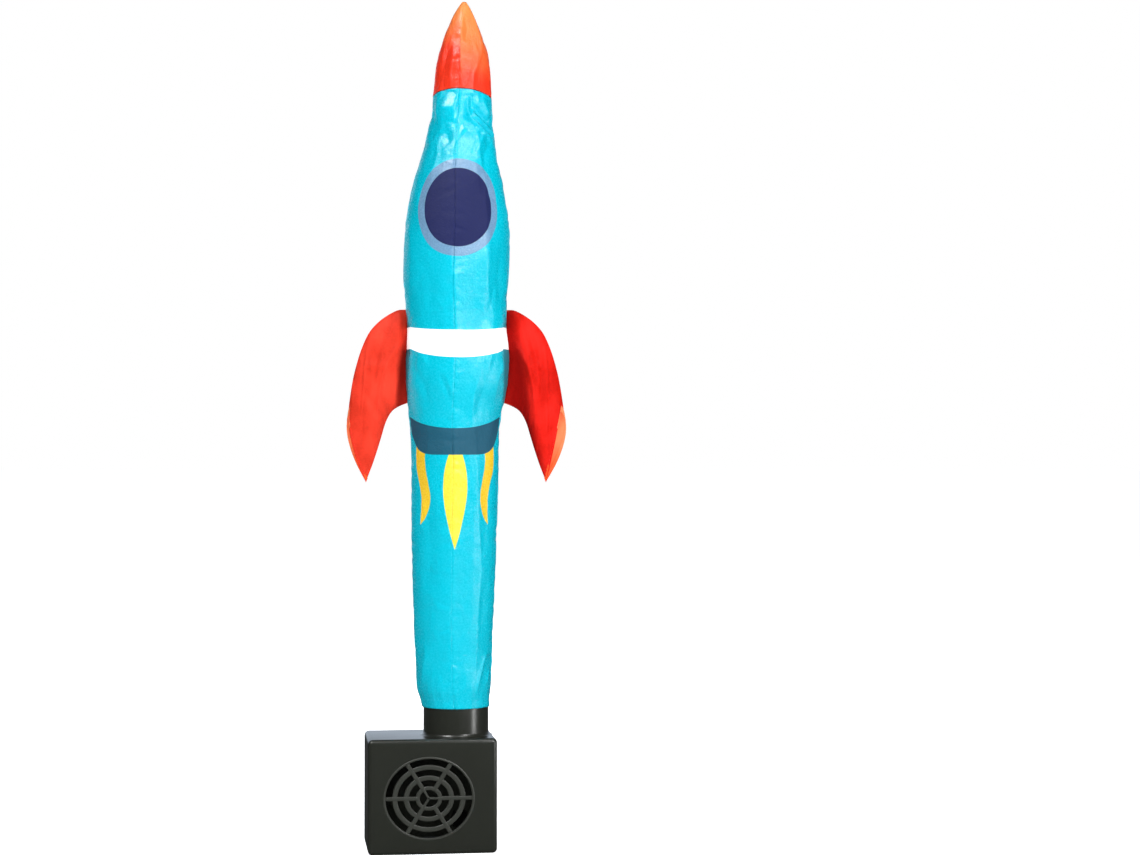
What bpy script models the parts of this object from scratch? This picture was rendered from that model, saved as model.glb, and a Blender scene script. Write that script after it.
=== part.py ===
"""Desktop inflatable air dancer in the shape of a rocket, standing on its blower.

Metres, +Z up, front towards -Y. The origin is on the table, under the axis of the
blower's round air outlet, which carries the cloth sleeve.
"""

import math
from collections import namedtuple

import bmesh
import bpy
from mathutils import Matrix, Vector

MM = 0.001

# Fit between neighbouring pieces
GAP = 0.3 * MM
CLOTH = 1.0 * MM

# Blower housing: an upright box with its air outlet at the top right
BOX_LEFT = -47.5 * MM
BOX_RIGHT = 20.0 * MM
BOX_DEPTH = 44.0 * MM
BOX_HEIGHT = 60.0 * MM
BOX_WALL = 2.2 * MM
BOX_ROUNDING = 2.4 * MM
BOX_ROUNDING_STEPS = 3

# Round air outlet that the sleeve is pulled over
OUTLET_RADIUS = 17.2 * MM
OUTLET_WALL = 1.8 * MM
OUTLET_TOP = 86.0 * MM
OUTLET_LEAD_IN = 1.0 * MM
OUTLET_FOOT_RADIUS = 18.9 * MM
OUTLET_FOOT_HEIGHT = 1.4 * MM
OUTLET_SIDES = 40

# Intake guard, moulded in the front wall: ring bars, spokes and a three-armed hub
GUARD_X = -14.8 * MM
GUARD_Z = 28.8 * MM
GUARD_RADIUS = 22.2 * MM
GUARD_SPOKE_WIDTH = 2.0 * MM
GUARD_HUB_SPOKE_WIDTH = 1.2 * MM
GUARD_SPOKES = 6
GUARD_HUB_SPOKES = 3
GUARD_ARC_STEPS = 4
GuardBar = namedtuple("GuardBar", "radius width")
GUARD_BARS = (
    GuardBar(17.2 * MM, 2.4 * MM),
    GuardBar(11.4 * MM, 2.4 * MM),
    GuardBar(5.7 * MM, 1.9 * MM),
)

# Rear cover plate and the power inlet in it
INLET_X = 4.0 * MM
INLET_Z = 12.0 * MM
INLET_BODY_RADIUS = 4.6 * MM
INLET_FLANGE_RADIUS = 6.0 * MM
INLET_FLANGE_THICKNESS = 0.9 * MM
INLET_BORE_RADIUS = 2.8 * MM
INLET_BORE_DEPTH = 8.0 * MM
INLET_LENGTH = 10.0 * MM
INLET_PIN_RADIUS = 1.0 * MM
INLET_PIN_SHORT = 1.0 * MM
INLET_SIDES = 24

# The inflated body, section by section: height above the table, how far its middle
# leans sideways, and its half width seen from the front
Section = namedtuple("Section", "height middle half_width")
SECTIONS = tuple(
    Section(height * MM, middle * MM, half_width * MM)
    for height, middle, half_width in (
        (74.0, 0.0, 18.5),
        (79.0, -0.5, 19.0),
        (84.0, -1.0, 19.5),
        (110.0, -1.2, 20.2),
        (142.0, -1.2, 21.2),
        (174.0, -0.9, 22.1),
        (208.0, -0.6, 22.7),
        (227.0, -0.8, 23.4),
        (236.0, -0.4, 24.7),
        (245.0, 0.3, 26.4),
        (257.0, 0.7, 27.1),
        (268.0, 0.8, 26.5),
        (277.0, 0.4, 25.8),
        (291.0, -0.1, 26.3),
        (302.0, -0.1, 27.1),
        (315.0, 0.2, 27.4),
        (328.0, 0.6, 26.9),
        (341.0, 0.7, 25.3),
        (354.0, 1.0, 22.9),
        (366.0, 1.5, 19.8),
        (379.0, 2.3, 17.3),
        (391.0, 3.0, 15.6),
        (401.0, 3.4, 15.2),
        (411.0, 3.4, 14.6),
        (417.5, 3.5, 13.7),
        (424.0, 3.6, 12.2),
        (430.5, 3.6, 10.2),
        (437.0, 3.7, 7.8),
        (443.0, 3.8, 5.3),
        (447.0, 4.0, 3.2),
        (450.0, 4.1, 1.5),
    )
)
DEPTH_SHARE = 0.97

# The tube is pulled on by hand, so it sits slightly turned on the blower
TUBE_TURN = Matrix.Rotation(math.radians(-4.8), 3, "Z")
ROUND_UP_TO = 90.0 * MM
FLATTER_FROM = 120.0 * MM
NECK_HEM = SECTIONS[0].height
NOSE_TIP = SECTIONS[-1].height
NOSE_SEAM = 400.0 * MM
BODY_ROW = 8.0 * MM
NOSE_ROW = 4.6 * MM
FRONT_COLUMNS = 7
BACK_COLUMNS = 8
NOSE_COLUMNS = 5

# The long seams between the four gores, as angles round the body from the front
FRONT_SEAM_LOW = math.radians(-2.8)
FRONT_SEAM_NOSE = math.radians(-8.0)
FRONT_SEAM_TURNS = (330.0 * MM, 400.0 * MM)
SIDE_SEAM = math.radians(80.0)
SIDE_SEAM_BOW = {-1: math.radians(14.0), 1: math.radians(20.0)}
BACK_SEAM = math.pi
RIDGE = 0.9 * MM
RIDGE_REACH = math.radians(34.0)
RIDGE_FADE = 45.0 * MM
WIDEST = 27.4 * MM

# Main folds in the body cloth: where each starts and ends (angle from the front in
# degrees, height in mm), how wide it is and how deep (mm)
Fold = namedtuple("Fold", "angle_a height_a angle_b height_b width depth")
FOLDS = (
    Fold(10, 395, 28, 386, 4.5, 1.0),
    Fold(28, 386, 66, 376, 4.5, 1.3),
    Fold(-50, 396, -30, 384, 5.0, 0.8),
    Fold(62, 300, 72, 286, 7.0, 1.2),
    Fold(30, 246, 24, 232, 5.0, 0.7),
    Fold(-18, 246, -6, 236, 5.0, 0.7),
    Fold(52, 94, 38, 78, 3.5, -0.7),
    Fold(66, 90, 54, 78, 3.0, -0.6),
    Fold(-62, 98, -48, 80, 4.0, -0.6),
    Fold(150, 392, 120, 374, 5.0, 1.0),
    Fold(-160, 300, -130, 284, 7.0, 1.0),
    Fold(160, 100, 140, 80, 4.0, -0.6),
)

# Fins: two-panel bags sewn to the sides, open at their outer lower end. The upper
# edge runs from the root's top to the mouth, the lower edge from the root's foot to
# the tip; each point is (distance from the middle of the body, height) in mm
FIN_UPPER_EDGE = (
    (25.9, 285.6),
    (30.6, 285.2),
    (37.9, 281.3),
    (43.0, 277.0),
    (46.6, 272.4),
    (50.3, 264.3),
    (53.0, 255.8),
    (55.0, 247.3),
    (56.0, 238.8),
    (55.6, 231.5),
)
FIN_LOWER_EDGE = (
    (25.2, 236.0),
    (29.6, 234.3),
    (33.1, 232.2),
    (35.4, 229.4),
    (37.5, 225.0),
    (39.4, 218.8),
    (41.4, 212.2),
    (44.3, 203.4),
    (47.9, 194.0),
)
FIN_ROOT_HALF_THICKNESS = 2.4 * MM
FIN_HALF_THICKNESS = 7.4 * MM
FIN_MOUTH_HALF_GAP = 4.2 * MM
FIN_FULL_BY = 0.26

# How far each panel's mouth edge bulges past a straight line: side, then front or back
FIN_MOUTH_BULGE = {
    (-1, -1): 3.2 * MM,
    (-1, 1): 4.4 * MM,
    (1, -1): 0.4 * MM,
    (1, 1): 5.6 * MM,
}
FIN_MOUTH_BULGE_AT = 0.40
FIN_PANEL_SKEW = 1.25
FIN_ROOT_GAP = 0.5 * MM
FIN_ROWS = 11
FIN_COLUMNS = 8

PLASTIC_COLOUR = (0.030, 0.032, 0.029, 1.0)
BODY_COLOUR = (0.004, 0.560, 0.680, 1.0)
NOSE_COLOUR = (0.920, 0.110, 0.035, 1.0)
FIN_COLOUR = (0.860, 0.040, 0.025, 1.0)
INLET_COLOUR = (0.012, 0.012, 0.012, 1.0)


def remove_everything():
    """Empties the scene."""
    for old in list(bpy.data.objects):
        bpy.data.objects.remove(old, do_unlink=True)


def make_material(name, colour, roughness):
    """A plain Principled material."""
    material = bpy.data.materials.new(name)
    material.use_nodes = True
    shader = material.node_tree.nodes["Principled BSDF"]
    shader.inputs["Base Color"].default_value = colour
    shader.inputs["Roughness"].default_value = roughness
    shader.inputs["Metallic"].default_value = 0.0
    return material


def object_from(name, bm, material=None, smooth_degrees=35.0):
    """Turns a bmesh into a linked object with outward faces."""
    bmesh.ops.remove_doubles(bm, verts=bm.verts, dist=0.000001)
    bmesh.ops.recalc_face_normals(bm, faces=bm.faces)
    mesh = bpy.data.meshes.new(name)
    bm.to_mesh(mesh)
    bm.free()
    if material:
        mesh.materials.append(material)
    mesh.shade_smooth()
    mesh.set_sharp_from_angle(angle=math.radians(smooth_degrees))
    made = bpy.data.objects.new(name, mesh)
    bpy.context.scene.collection.objects.link(made)
    return made


def block(name, low, high, rounding=0.0, open_back=False):
    """A box between two corners, with its edges rounded."""
    bm = bmesh.new()
    bmesh.ops.create_cube(bm, size=1.0)
    middle = (Vector(low) + Vector(high)) / 2
    size = Vector(high) - Vector(low)
    for vertex in bm.verts:
        vertex.co = middle + Vector(c * s for c, s in zip(vertex.co, size))
    if rounding:
        kept = [edge for edge in bm.edges if not open_back or not on_back(edge, high[1])]
        bmesh.ops.bevel(
            bm,
            geom=kept,
            offset=rounding,
            segments=BOX_ROUNDING_STEPS,
            profile=0.5,
            affect="EDGES",
        )
    return object_from(name, bm)


def on_back(edge, back):
    """Whether an edge lies in the rear plane."""
    return all(abs(vertex.co.y - back) < 1e-6 for vertex in edge.verts)


def turned(name, profile, sides, place, axis="Z"):
    """A solid of revolution: profile points are (radius, distance along the axis)."""
    bm = bmesh.new()
    rings = []
    for radius, along in profile:
        ring = []
        for step in range(sides):
            angle = math.tau * step / sides
            across = Vector((radius * math.cos(angle), radius * math.sin(angle)))
            if axis == "Z":
                point = Vector((across.x, across.y, along))
            else:
                point = Vector((across.x, along, across.y))
            ring.append(bm.verts.new(Vector(place) + point))
        rings.append(ring)
    for one, other in zip(rings, rings[1:] + rings[:1]):
        for step in range(sides):
            following = (step + 1) % sides
            bm.faces.new((one[step], one[following], other[following], other[step]))
    return object_from(name, bm)


def rod(name, radius, start, end, sides, place, axis="Z"):
    """A closed cylinder."""
    bm = bmesh.new()
    rings = []
    for along in (start, end):
        ring = []
        for step in range(sides):
            angle = math.tau * step / sides
            if axis == "Z":
                point = Vector((radius * math.cos(angle), radius * math.sin(angle), along))
            else:
                point = Vector((radius * math.cos(angle), along, radius * math.sin(angle)))
            ring.append(bm.verts.new(Vector(place) + point))
        rings.append(ring)
    for step in range(sides):
        following = (step + 1) % sides
        bm.faces.new((rings[0][step], rings[0][following], rings[1][following], rings[1][step]))
    bm.faces.new(rings[0])
    bm.faces.new(rings[1])
    return object_from(name, bm)


def combine(base, tool, operation):
    """Applies a Boolean to base and removes the tool."""
    modifier = base.modifiers.new(operation.lower(), "BOOLEAN")
    modifier.operation = operation
    modifier.solver = "EXACT"
    modifier.object = tool
    bpy.context.view_layer.update()
    evaluated = base.evaluated_get(bpy.context.evaluated_depsgraph_get())
    result = bpy.data.meshes.new_from_object(evaluated)
    base.modifiers.remove(modifier)
    base.data = result
    bpy.data.objects.remove(tool, do_unlink=True)
    return base


def dress(made, material, smooth_degrees=35.0):
    """Gives an object its one material and its shading."""
    made.data.materials.clear()
    made.data.materials.append(material)
    made.data.shade_smooth()
    made.data.set_sharp_from_angle(angle=math.radians(smooth_degrees))
    return made


def add_gap(bm, inner, outer, start, end, half_spoke, depths):
    """Adds the gap between two bars and two spokes; spokes keep an even width."""
    rings = []
    for radius in (inner, outer):
        lean = math.asin(min(half_spoke / radius, 0.99))
        steps = [
            start + lean + (end - start - 2 * lean) * step / GUARD_ARC_STEPS
            for step in range(GUARD_ARC_STEPS + 1)
        ]
        rings.append([(radius * math.cos(a), radius * math.sin(a)) for a in steps])
    outline = rings[0] + rings[1][::-1]
    ends = []
    for depth in depths:
        ends.append([bm.verts.new((GUARD_X + x, depth, GUARD_Z + z)) for x, z in outline])
        bm.faces.new(ends[-1])
    for here in range(len(outline)):
        following = (here + 1) % len(outline)
        bm.faces.new((ends[0][here], ends[0][following], ends[1][following], ends[1][here]))


def guard_gaps():
    """All the gaps of the intake guard, as one cutter through the front wall."""
    front = -BOX_DEPTH / 2
    outers = [GUARD_RADIUS] + [bar.radius - bar.width / 2 for bar in GUARD_BARS]
    inners = [bar.radius + bar.width / 2 for bar in GUARD_BARS] + [GUARD_HUB_SPOKE_WIDTH]
    cutters = bmesh.new()
    for ring, (inner, outer) in enumerate(zip(inners, outers)):
        hub = ring == len(GUARD_BARS)
        count = GUARD_HUB_SPOKES if hub else GUARD_SPOKES
        width = GUARD_HUB_SPOKE_WIDTH if hub else GUARD_SPOKE_WIDTH
        for spoke in range(count):
            add_gap(
                cutters,
                inner,
                outer,
                math.tau * spoke / count,
                math.tau * (spoke + 1) / count,
                width / 2,
                (front - BOX_WALL, front + 2 * BOX_WALL),
            )
    return object_from("guard_gaps", cutters)


def blower_housing(material):
    """Walls of the blower in one moulding, with the round outlet and the intake guard."""
    front = -BOX_DEPTH / 2
    back = BOX_DEPTH / 2
    shell = block(
        "blower_housing",
        (BOX_LEFT, front, 0.0),
        (BOX_RIGHT, back, BOX_HEIGHT),
        BOX_ROUNDING,
        open_back=True,
    )
    foot = turned(
        "outlet_outside",
        (
            (OUTLET_FOOT_RADIUS, BOX_HEIGHT - BOX_WALL / 2),
            (OUTLET_FOOT_RADIUS, BOX_HEIGHT + 0.1 * MM),
            (OUTLET_RADIUS, BOX_HEIGHT + OUTLET_FOOT_HEIGHT),
            (OUTLET_RADIUS, OUTLET_TOP - OUTLET_LEAD_IN),
            (OUTLET_RADIUS - OUTLET_LEAD_IN, OUTLET_TOP),
            (OUTLET_RADIUS - OUTLET_WALL, OUTLET_TOP),
            (OUTLET_RADIUS - OUTLET_WALL, BOX_HEIGHT - BOX_WALL / 2),
        ),
        OUTLET_SIDES,
        (0.0, 0.0, 0.0),
    )
    hollow = block(
        "hollow",
        (BOX_LEFT + BOX_WALL, front + BOX_WALL, BOX_WALL),
        (BOX_RIGHT - BOX_WALL, back + BOX_WALL, BOX_HEIGHT - BOX_WALL),
    )
    bore = rod(
        "bore",
        OUTLET_RADIUS - OUTLET_WALL,
        BOX_HEIGHT - 2 * BOX_WALL,
        OUTLET_TOP + BOX_WALL,
        OUTLET_SIDES,
        (0.0, 0.0, 0.0),
    )
    combine(shell, foot, "UNION")
    combine(shell, hollow, "DIFFERENCE")
    combine(shell, bore, "DIFFERENCE")
    combine(shell, guard_gaps(), "DIFFERENCE")
    return dress(shell, material)


def blower_cover(material):
    """Rear plate, set inside the housing's open back."""
    back = BOX_DEPTH / 2
    inside = BOX_WALL + GAP
    plate = block(
        "blower_cover",
        (BOX_LEFT + inside, back - BOX_WALL, inside),
        (BOX_RIGHT - inside, back, BOX_HEIGHT - inside),
    )
    hole = rod(
        "inlet_hole",
        INLET_BODY_RADIUS + GAP,
        back - 2 * BOX_WALL,
        back + BOX_WALL,
        INLET_SIDES,
        (INLET_X, 0.0, INLET_Z),
        axis="Y",
    )
    combine(plate, hole, "DIFFERENCE")
    return dress(plate, material)


def power_inlet(material):
    """Round low-voltage socket in the rear cover, with its centre pin."""
    face = BOX_DEPTH / 2 + GAP + INLET_FLANGE_THICKNESS
    seat = BOX_DEPTH / 2 + GAP
    floor = face - INLET_BORE_DEPTH
    socket = turned(
        "power_inlet",
        (
            (INLET_BORE_RADIUS, face),
            (INLET_FLANGE_RADIUS, face),
            (INLET_FLANGE_RADIUS, seat),
            (INLET_BODY_RADIUS, seat),
            (INLET_BODY_RADIUS, face - INLET_LENGTH),
            (INLET_PIN_RADIUS, face - INLET_LENGTH),
            (INLET_PIN_RADIUS, floor),
            (INLET_BORE_RADIUS, floor),
        ),
        INLET_SIDES,
        (INLET_X, 0.0, INLET_Z),
        axis="Y",
    )
    pin = rod(
        "inlet_pin",
        INLET_PIN_RADIUS * 1.001,
        face - INLET_LENGTH,
        face - INLET_PIN_SHORT,
        INLET_SIDES,
        (INLET_X, 0.0, INLET_Z),
        axis="Y",
    )
    combine(socket, pin, "UNION")
    return dress(socket, material)


def smooth_step(low, high, value):
    """0 below low, 1 above high, and an even S between."""
    share = min(max((value - low) / (high - low), 0.0), 1.0)
    return share * share * (3 - 2 * share)


def through_points(places, values, at):
    """A smooth curve through a table's points (Catmull-Rom)."""
    if at <= places[0]:
        return values[0]
    if at >= places[-1]:
        return values[-1]
    here = max(i for i in range(len(places) - 1) if places[i] <= at)
    slopes = []
    for i in (here, here + 1):
        before = max(i - 1, 0)
        after = min(i + 1, len(places) - 1)
        slopes.append((values[after] - values[before]) / (places[after] - places[before]))
    span = places[here + 1] - places[here]
    t = (at - places[here]) / span
    return (
        (2 * t**3 - 3 * t**2 + 1) * values[here]
        + (t**3 - 2 * t**2 + t) * span * slopes[0]
        + (3 * t**2 - 2 * t**3) * values[here + 1]
        + (t**3 - t**2) * span * slopes[1]
    )


SECTION_HEIGHTS = [section.height for section in SECTIONS]
SECTION_MIDDLES = [section.middle for section in SECTIONS]
SECTION_HALF_WIDTHS = [section.half_width for section in SECTIONS]


def body_middle(height):
    """Sideways place of the body's middle."""
    return through_points(SECTION_HEIGHTS, SECTION_MIDDLES, height)


def body_radius(height):
    """Half width of the body without its seams and folds."""
    return through_points(SECTION_HEIGHTS, SECTION_HALF_WIDTHS, height)


def fin_bow(height):
    """How far the fin root pulls the side seam forward, from 0 to 1."""
    foot = FIN_LOWER_EDGE[0][1] * MM
    top = FIN_UPPER_EDGE[0][1] * MM
    if not foot < height < top:
        return 0.0
    return math.sin(math.pi * (height - foot) / (top - foot)) ** 0.8


def front_seam(height):
    """Angle of the seam down the front."""
    turned_by = smooth_step(*FRONT_SEAM_TURNS, height)
    return FRONT_SEAM_LOW + (FRONT_SEAM_NOSE - FRONT_SEAM_LOW) * turned_by


def side_seam(height, side):
    """Angle of the seam on the left (-1) or right (1)."""
    return side * (SIDE_SEAM - SIDE_SEAM_BOW[side] * fin_bow(height))


def wrapped(angle):
    """The same angle between -pi and pi."""
    return (angle + math.pi) % math.tau - math.pi


def seam_ridge(angle, height):
    """Each seam stands a little proud, because the gores between it are cut flat."""
    seams = (front_seam(height), side_seam(height, -1), side_seam(height, 1), BACK_SEAM)
    nearest = min(abs(wrapped(angle - seam)) for seam in seams)
    fade = smooth_step(NECK_HEM, NECK_HEM + RIDGE_FADE, height)
    size = RIDGE * fade * body_radius(height) / WIDEST
    return size * max(0.0, 1.0 - nearest / RIDGE_REACH)


def fold_depth(angle, height):
    """Depth of the main folds at a place on the body."""
    radius = body_radius(height)
    total = 0.0
    for fold in FOLDS:
        start = (math.radians(fold.angle_a), fold.height_a * MM)
        end = (math.radians(fold.angle_b), fold.height_b * MM)
        across = wrapped(angle - start[0]) * radius
        along = Vector(((end[0] - start[0]) * radius, end[1] - start[1]))
        offset = Vector((across, height - start[1]))
        share = min(max(offset.dot(along) / along.length_squared, 0.0), 1.0)
        distance = (offset - along * share).length
        total += fold.depth * MM * math.exp(-((distance / (fold.width * MM)) ** 2))
    return total


def body_point(angle, height, inset=0.0, sideways=0.0):
    """A point on the inflated body.

    The angle is measured from the front, positive to the right; inset goes in from the
    cloth's outside, and sideways shifts the point along the surface.
    """
    radius = body_radius(height) + seam_ridge(angle, height)
    radius -= fold_depth(angle, height) * smooth_step(NECK_HEM, NECK_HEM + 8 * MM, height)
    radius = max(radius - inset, GAP)
    depth_share = 1.0 - (1.0 - DEPTH_SHARE) * smooth_step(ROUND_UP_TO, FLATTER_FROM, height)
    x = body_middle(height) + radius * math.sin(angle) + sideways * math.cos(angle)
    y = -depth_share * radius * math.cos(angle) + sideways * math.sin(angle)
    return Vector((x, y, height))


def sheet(name, outside, inside, material):
    """A closed sheet of cloth from two grids of points of the same size."""
    bm = bmesh.new()
    layers = [
        [[bm.verts.new(TUBE_TURN @ point) for point in row] for row in grid]
        for grid in (outside, inside)
    ]
    rows = len(outside)
    columns = len(outside[0])
    for layer in layers:
        for i in range(rows - 1):
            for j in range(columns - 1):
                bm.faces.new(
                    (layer[i][j], layer[i][j + 1], layer[i + 1][j + 1], layer[i + 1][j])
                )
    rim = [(0, j) for j in range(columns - 1)]
    rim += [(i, columns - 1) for i in range(rows - 1)]
    rim += [(rows - 1, j) for j in range(columns - 1, 0, -1)]
    rim += [(i, 0) for i in range(rows - 1, 0, -1)]
    for here, following in zip(rim, rim[1:] + rim[:1]):
        a, b = (layers[0][i][j] for i, j in (here, following))
        c, d = (layers[1][i][j] for i, j in (following, here))
        bm.faces.new((a, b, c, d))
    return object_from(name, bm, material, smooth_degrees=50.0)


def even_heights(low, high, pitch):
    """Heights from low to high, about one pitch apart."""
    count = max(1, round((high - low) / pitch))
    return [low + (high - low) * i / count for i in range(count + 1)]


def gore(name, start_seam, end_seam, heights, columns, material):
    """One long panel between two seams, with half a gap left at each."""
    grids = []
    for inset in (0.0, CLOTH):
        grid = []
        for height in heights:
            start = start_seam(height)
            end = end_seam(height)
            row = []
            for column in range(columns + 1):
                share = column / columns
                shift = {0: GAP / 2, columns: -GAP / 2}.get(column, 0.0)
                angle = start + (end - start) * share
                row.append(body_point(angle, height, inset, shift))
            grid.append(row)
        grids.append(grid)
    return sheet(name, grids[0], grids[1], material)


def all_gores(body_material, nose_material):
    """Four body gores from the neck to the nose, and four nose gores above them."""
    seams = {
        "front_left": (lambda h: side_seam(h, -1), front_seam, FRONT_COLUMNS),
        "front_right": (front_seam, lambda h: side_seam(h, 1), FRONT_COLUMNS),
        "back_right": (lambda h: side_seam(h, 1), lambda h: BACK_SEAM, BACK_COLUMNS),
        "back_left": (lambda h: -BACK_SEAM, lambda h: side_seam(h, -1), BACK_COLUMNS),
    }
    body_heights = even_heights(NECK_HEM, NOSE_SEAM - GAP / 2, BODY_ROW)
    nose_heights = even_heights(NOSE_SEAM + GAP / 2, NOSE_TIP, NOSE_ROW)
    for place, (start, end, columns) in seams.items():
        gore("body_" + place, start, end, body_heights, columns, body_material)
        gore("nose_" + place, start, end, nose_heights, NOSE_COLUMNS, nose_material)


def along_edge(points, share):
    """The point at a share of the way along a fin's edge, in metres."""
    places = [0.0]
    for one, other in zip(points, points[1:]):
        places.append(places[-1] + math.dist(one, other))
    at = places[-1] * share
    return tuple(through_points(places, [p[k] for p in points], at) * MM for k in (0, 1))


def fin_point(side, layer, share_out, share_down, skin):
    """A point on a fin panel.

    share_out runs from the root (0) to the mouth (1), share_down from the upper edge
    (0) to the lower edge (1). layer is -1 for the front panel and 1 for the back one,
    and skin is how far the point lies outside the bag's hollow.
    """
    upper = along_edge(FIN_UPPER_EDGE, share_out)
    lower = along_edge(FIN_LOWER_EDGE, share_out)
    across = upper[0] + (lower[0] - upper[0]) * share_down
    height = upper[1] + (lower[1] - upper[1]) * share_down
    hump = 4 * share_down * (1 - share_down)
    skewed = share_down ** (math.log(0.5) / math.log(FIN_MOUTH_BULGE_AT))
    across += FIN_MOUTH_BULGE[side, layer] * 4 * skewed * (1 - skewed) * share_out**4
    swell = smooth_step(0.0, FIN_FULL_BY, share_out)
    puff = FIN_ROOT_HALF_THICKNESS + (FIN_HALF_THICKNESS - FIN_ROOT_HALF_THICKNESS) * swell
    slack = smooth_step(FIN_FULL_BY, 1.0, share_out)
    puff += (FIN_MOUTH_HALF_GAP - FIN_HALF_THICKNESS) * slack
    depth = layer * (puff * hump**0.85 + skin)
    root_height = FIN_UPPER_EDGE[0][1] + (FIN_LOWER_EDGE[0][1] - FIN_UPPER_EDGE[0][1]) * share_down
    root_across = FIN_UPPER_EDGE[0][0] + (FIN_LOWER_EDGE[0][0] - FIN_UPPER_EDGE[0][0]) * share_down
    root_height, root_across = root_height * MM, root_across * MM
    root_depth = layer * (FIN_ROOT_HALF_THICKNESS * hump**0.85 + skin)
    round_body = side * math.acos(max(-1.0, min(1.0, -root_depth / body_radius(root_height))))
    to_body = side * body_point(round_body, root_height, -FIN_ROOT_GAP).x - root_across
    across += to_body * (1 - share_out) ** 3
    return Vector((side * across, depth, height))


def fin_panel(name, side, layer, material):
    """One of the two panels of a fin."""
    grids = []
    for skin in (CLOTH * FIN_PANEL_SKEW + GAP / 2, GAP / 2):
        grids.append(
            [
                [
                    fin_point(side, layer, i / FIN_ROWS, j / FIN_COLUMNS, skin)
                    for j in range(FIN_COLUMNS + 1)
                ]
                for i in range(FIN_ROWS + 1)
            ]
        )
    return sheet(name, grids[0], grids[1], material)


def main():
    """Builds every piece in place."""
    remove_everything()
    plastic = make_material("housing_plastic", PLASTIC_COLOUR, 0.42)
    socket_plastic = make_material("socket_plastic", INLET_COLOUR, 0.35)
    body_cloth = make_material("body_cloth", BODY_COLOUR, 0.45)
    nose_cloth = make_material("nose_cloth", NOSE_COLOUR, 0.45)
    fin_cloth = make_material("fin_cloth", FIN_COLOUR, 0.45)
    blower_housing(plastic)
    blower_cover(plastic)
    power_inlet(socket_plastic)
    all_gores(body_cloth, nose_cloth)
    for side, hand in ((-1, "left"), (1, "right")):
        fin_panel("fin_" + hand + "_front", side, -1, fin_cloth)
        fin_panel("fin_" + hand + "_back", side, 1, fin_cloth)


main()
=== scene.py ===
"""Looks of a desktop inflatable air dancer in the shape of a rocket, on its blower.

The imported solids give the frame. This script dresses them: gores of thin printed nylon
with their seams and creases, open fins, and a moulded blower with its intake guard.
Metres, +Z up, front of the blower towards -Y.
"""

from __future__ import annotations

import logging
import math
from dataclasses import dataclass, field
from enum import Enum
from typing import Callable, NamedTuple

import bmesh
import bpy
import numpy as np
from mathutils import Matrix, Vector, noise

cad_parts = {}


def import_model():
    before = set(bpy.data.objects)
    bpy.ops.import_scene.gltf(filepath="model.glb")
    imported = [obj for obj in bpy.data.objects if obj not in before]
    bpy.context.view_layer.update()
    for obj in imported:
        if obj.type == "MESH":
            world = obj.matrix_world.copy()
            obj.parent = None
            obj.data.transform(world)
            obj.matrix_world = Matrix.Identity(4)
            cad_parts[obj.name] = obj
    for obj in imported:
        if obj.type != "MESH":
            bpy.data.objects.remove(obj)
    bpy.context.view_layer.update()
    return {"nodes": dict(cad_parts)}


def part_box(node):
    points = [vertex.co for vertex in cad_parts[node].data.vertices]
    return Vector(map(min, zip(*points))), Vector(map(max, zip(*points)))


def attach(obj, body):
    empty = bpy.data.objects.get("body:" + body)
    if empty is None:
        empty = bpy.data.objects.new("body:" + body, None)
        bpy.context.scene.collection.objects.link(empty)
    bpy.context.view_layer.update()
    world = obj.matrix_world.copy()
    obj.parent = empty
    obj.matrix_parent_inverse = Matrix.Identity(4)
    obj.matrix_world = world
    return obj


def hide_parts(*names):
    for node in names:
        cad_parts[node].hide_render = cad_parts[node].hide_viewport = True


LOG = logging.getLogger("air_dancer")
MM = 0.001

Array = np.ndarray
Material = bpy.types.Material
Node = bpy.types.Node
Piece = bpy.types.Object
Socket = bpy.types.NodeSocket
Tree = bpy.types.NodeTree
Outputs = bpy.types.bpy_prop_collection
Paint = Callable[["Graph", Socket, Socket], Socket]
Colour = tuple[float, float, float, float]


# Small helpers


def linear(red: int, green: int, blue: int) -> Colour:
    """Turns a colour as it is named on a screen into light.

    Args:
        red: 0 to 255.
        green: 0 to 255.
        blue: 0 to 255.

    Returns:
        The linear colour with full alpha.
    """

    def channel(value: int) -> float:
        """One channel."""
        share = value / 255
        return share / 12.92 if share <= 0.04045 else ((share + 0.055) / 1.055) ** 2.4

    return (channel(red), channel(green), channel(blue), 1.0)


def smooth_step(low: float, high: float, value: Array | float) -> Array | float:
    """0 below low, 1 above high, and an even S between.

    Args:
        low: Where the S starts.
        high: Where it ends.
        value: Where to read it.

    Returns:
        The S at each value.
    """
    share = np.clip((np.asarray(value, float) - low) / (high - low), 0.0, 1.0)
    return share * share * (3 - 2 * share)


def through_points(places: Array, values: Array, at: Array | float) -> Array:
    """A smooth curve through a table's points (Catmull-Rom).

    Args:
        places: Rising places of the points.
        values: One value for each place.
        at: Where to read the curve.

    Returns:
        The curve at each place asked for.
    """
    places = np.asarray(places, float)
    values = np.asarray(values, float)
    at = np.clip(np.asarray(at, float), places[0], places[-1])
    here = np.clip(np.searchsorted(places, at, side="right") - 1, 0, len(places) - 2)
    before = np.maximum(np.arange(len(places)) - 1, 0)
    after = np.minimum(np.arange(len(places)) + 1, len(places) - 1)
    slopes = (values[after] - values[before]) / (places[after] - places[before])
    span = places[here + 1] - places[here]
    t = (at - places[here]) / span
    return (
        (2 * t**3 - 3 * t**2 + 1) * values[here]
        + (t**3 - 2 * t**2 + t) * span * slopes[here]
        + (3 * t**2 - 2 * t**3) * values[here + 1]
        + (t**3 - t**2) * span * slopes[here + 1]
    )


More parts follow.
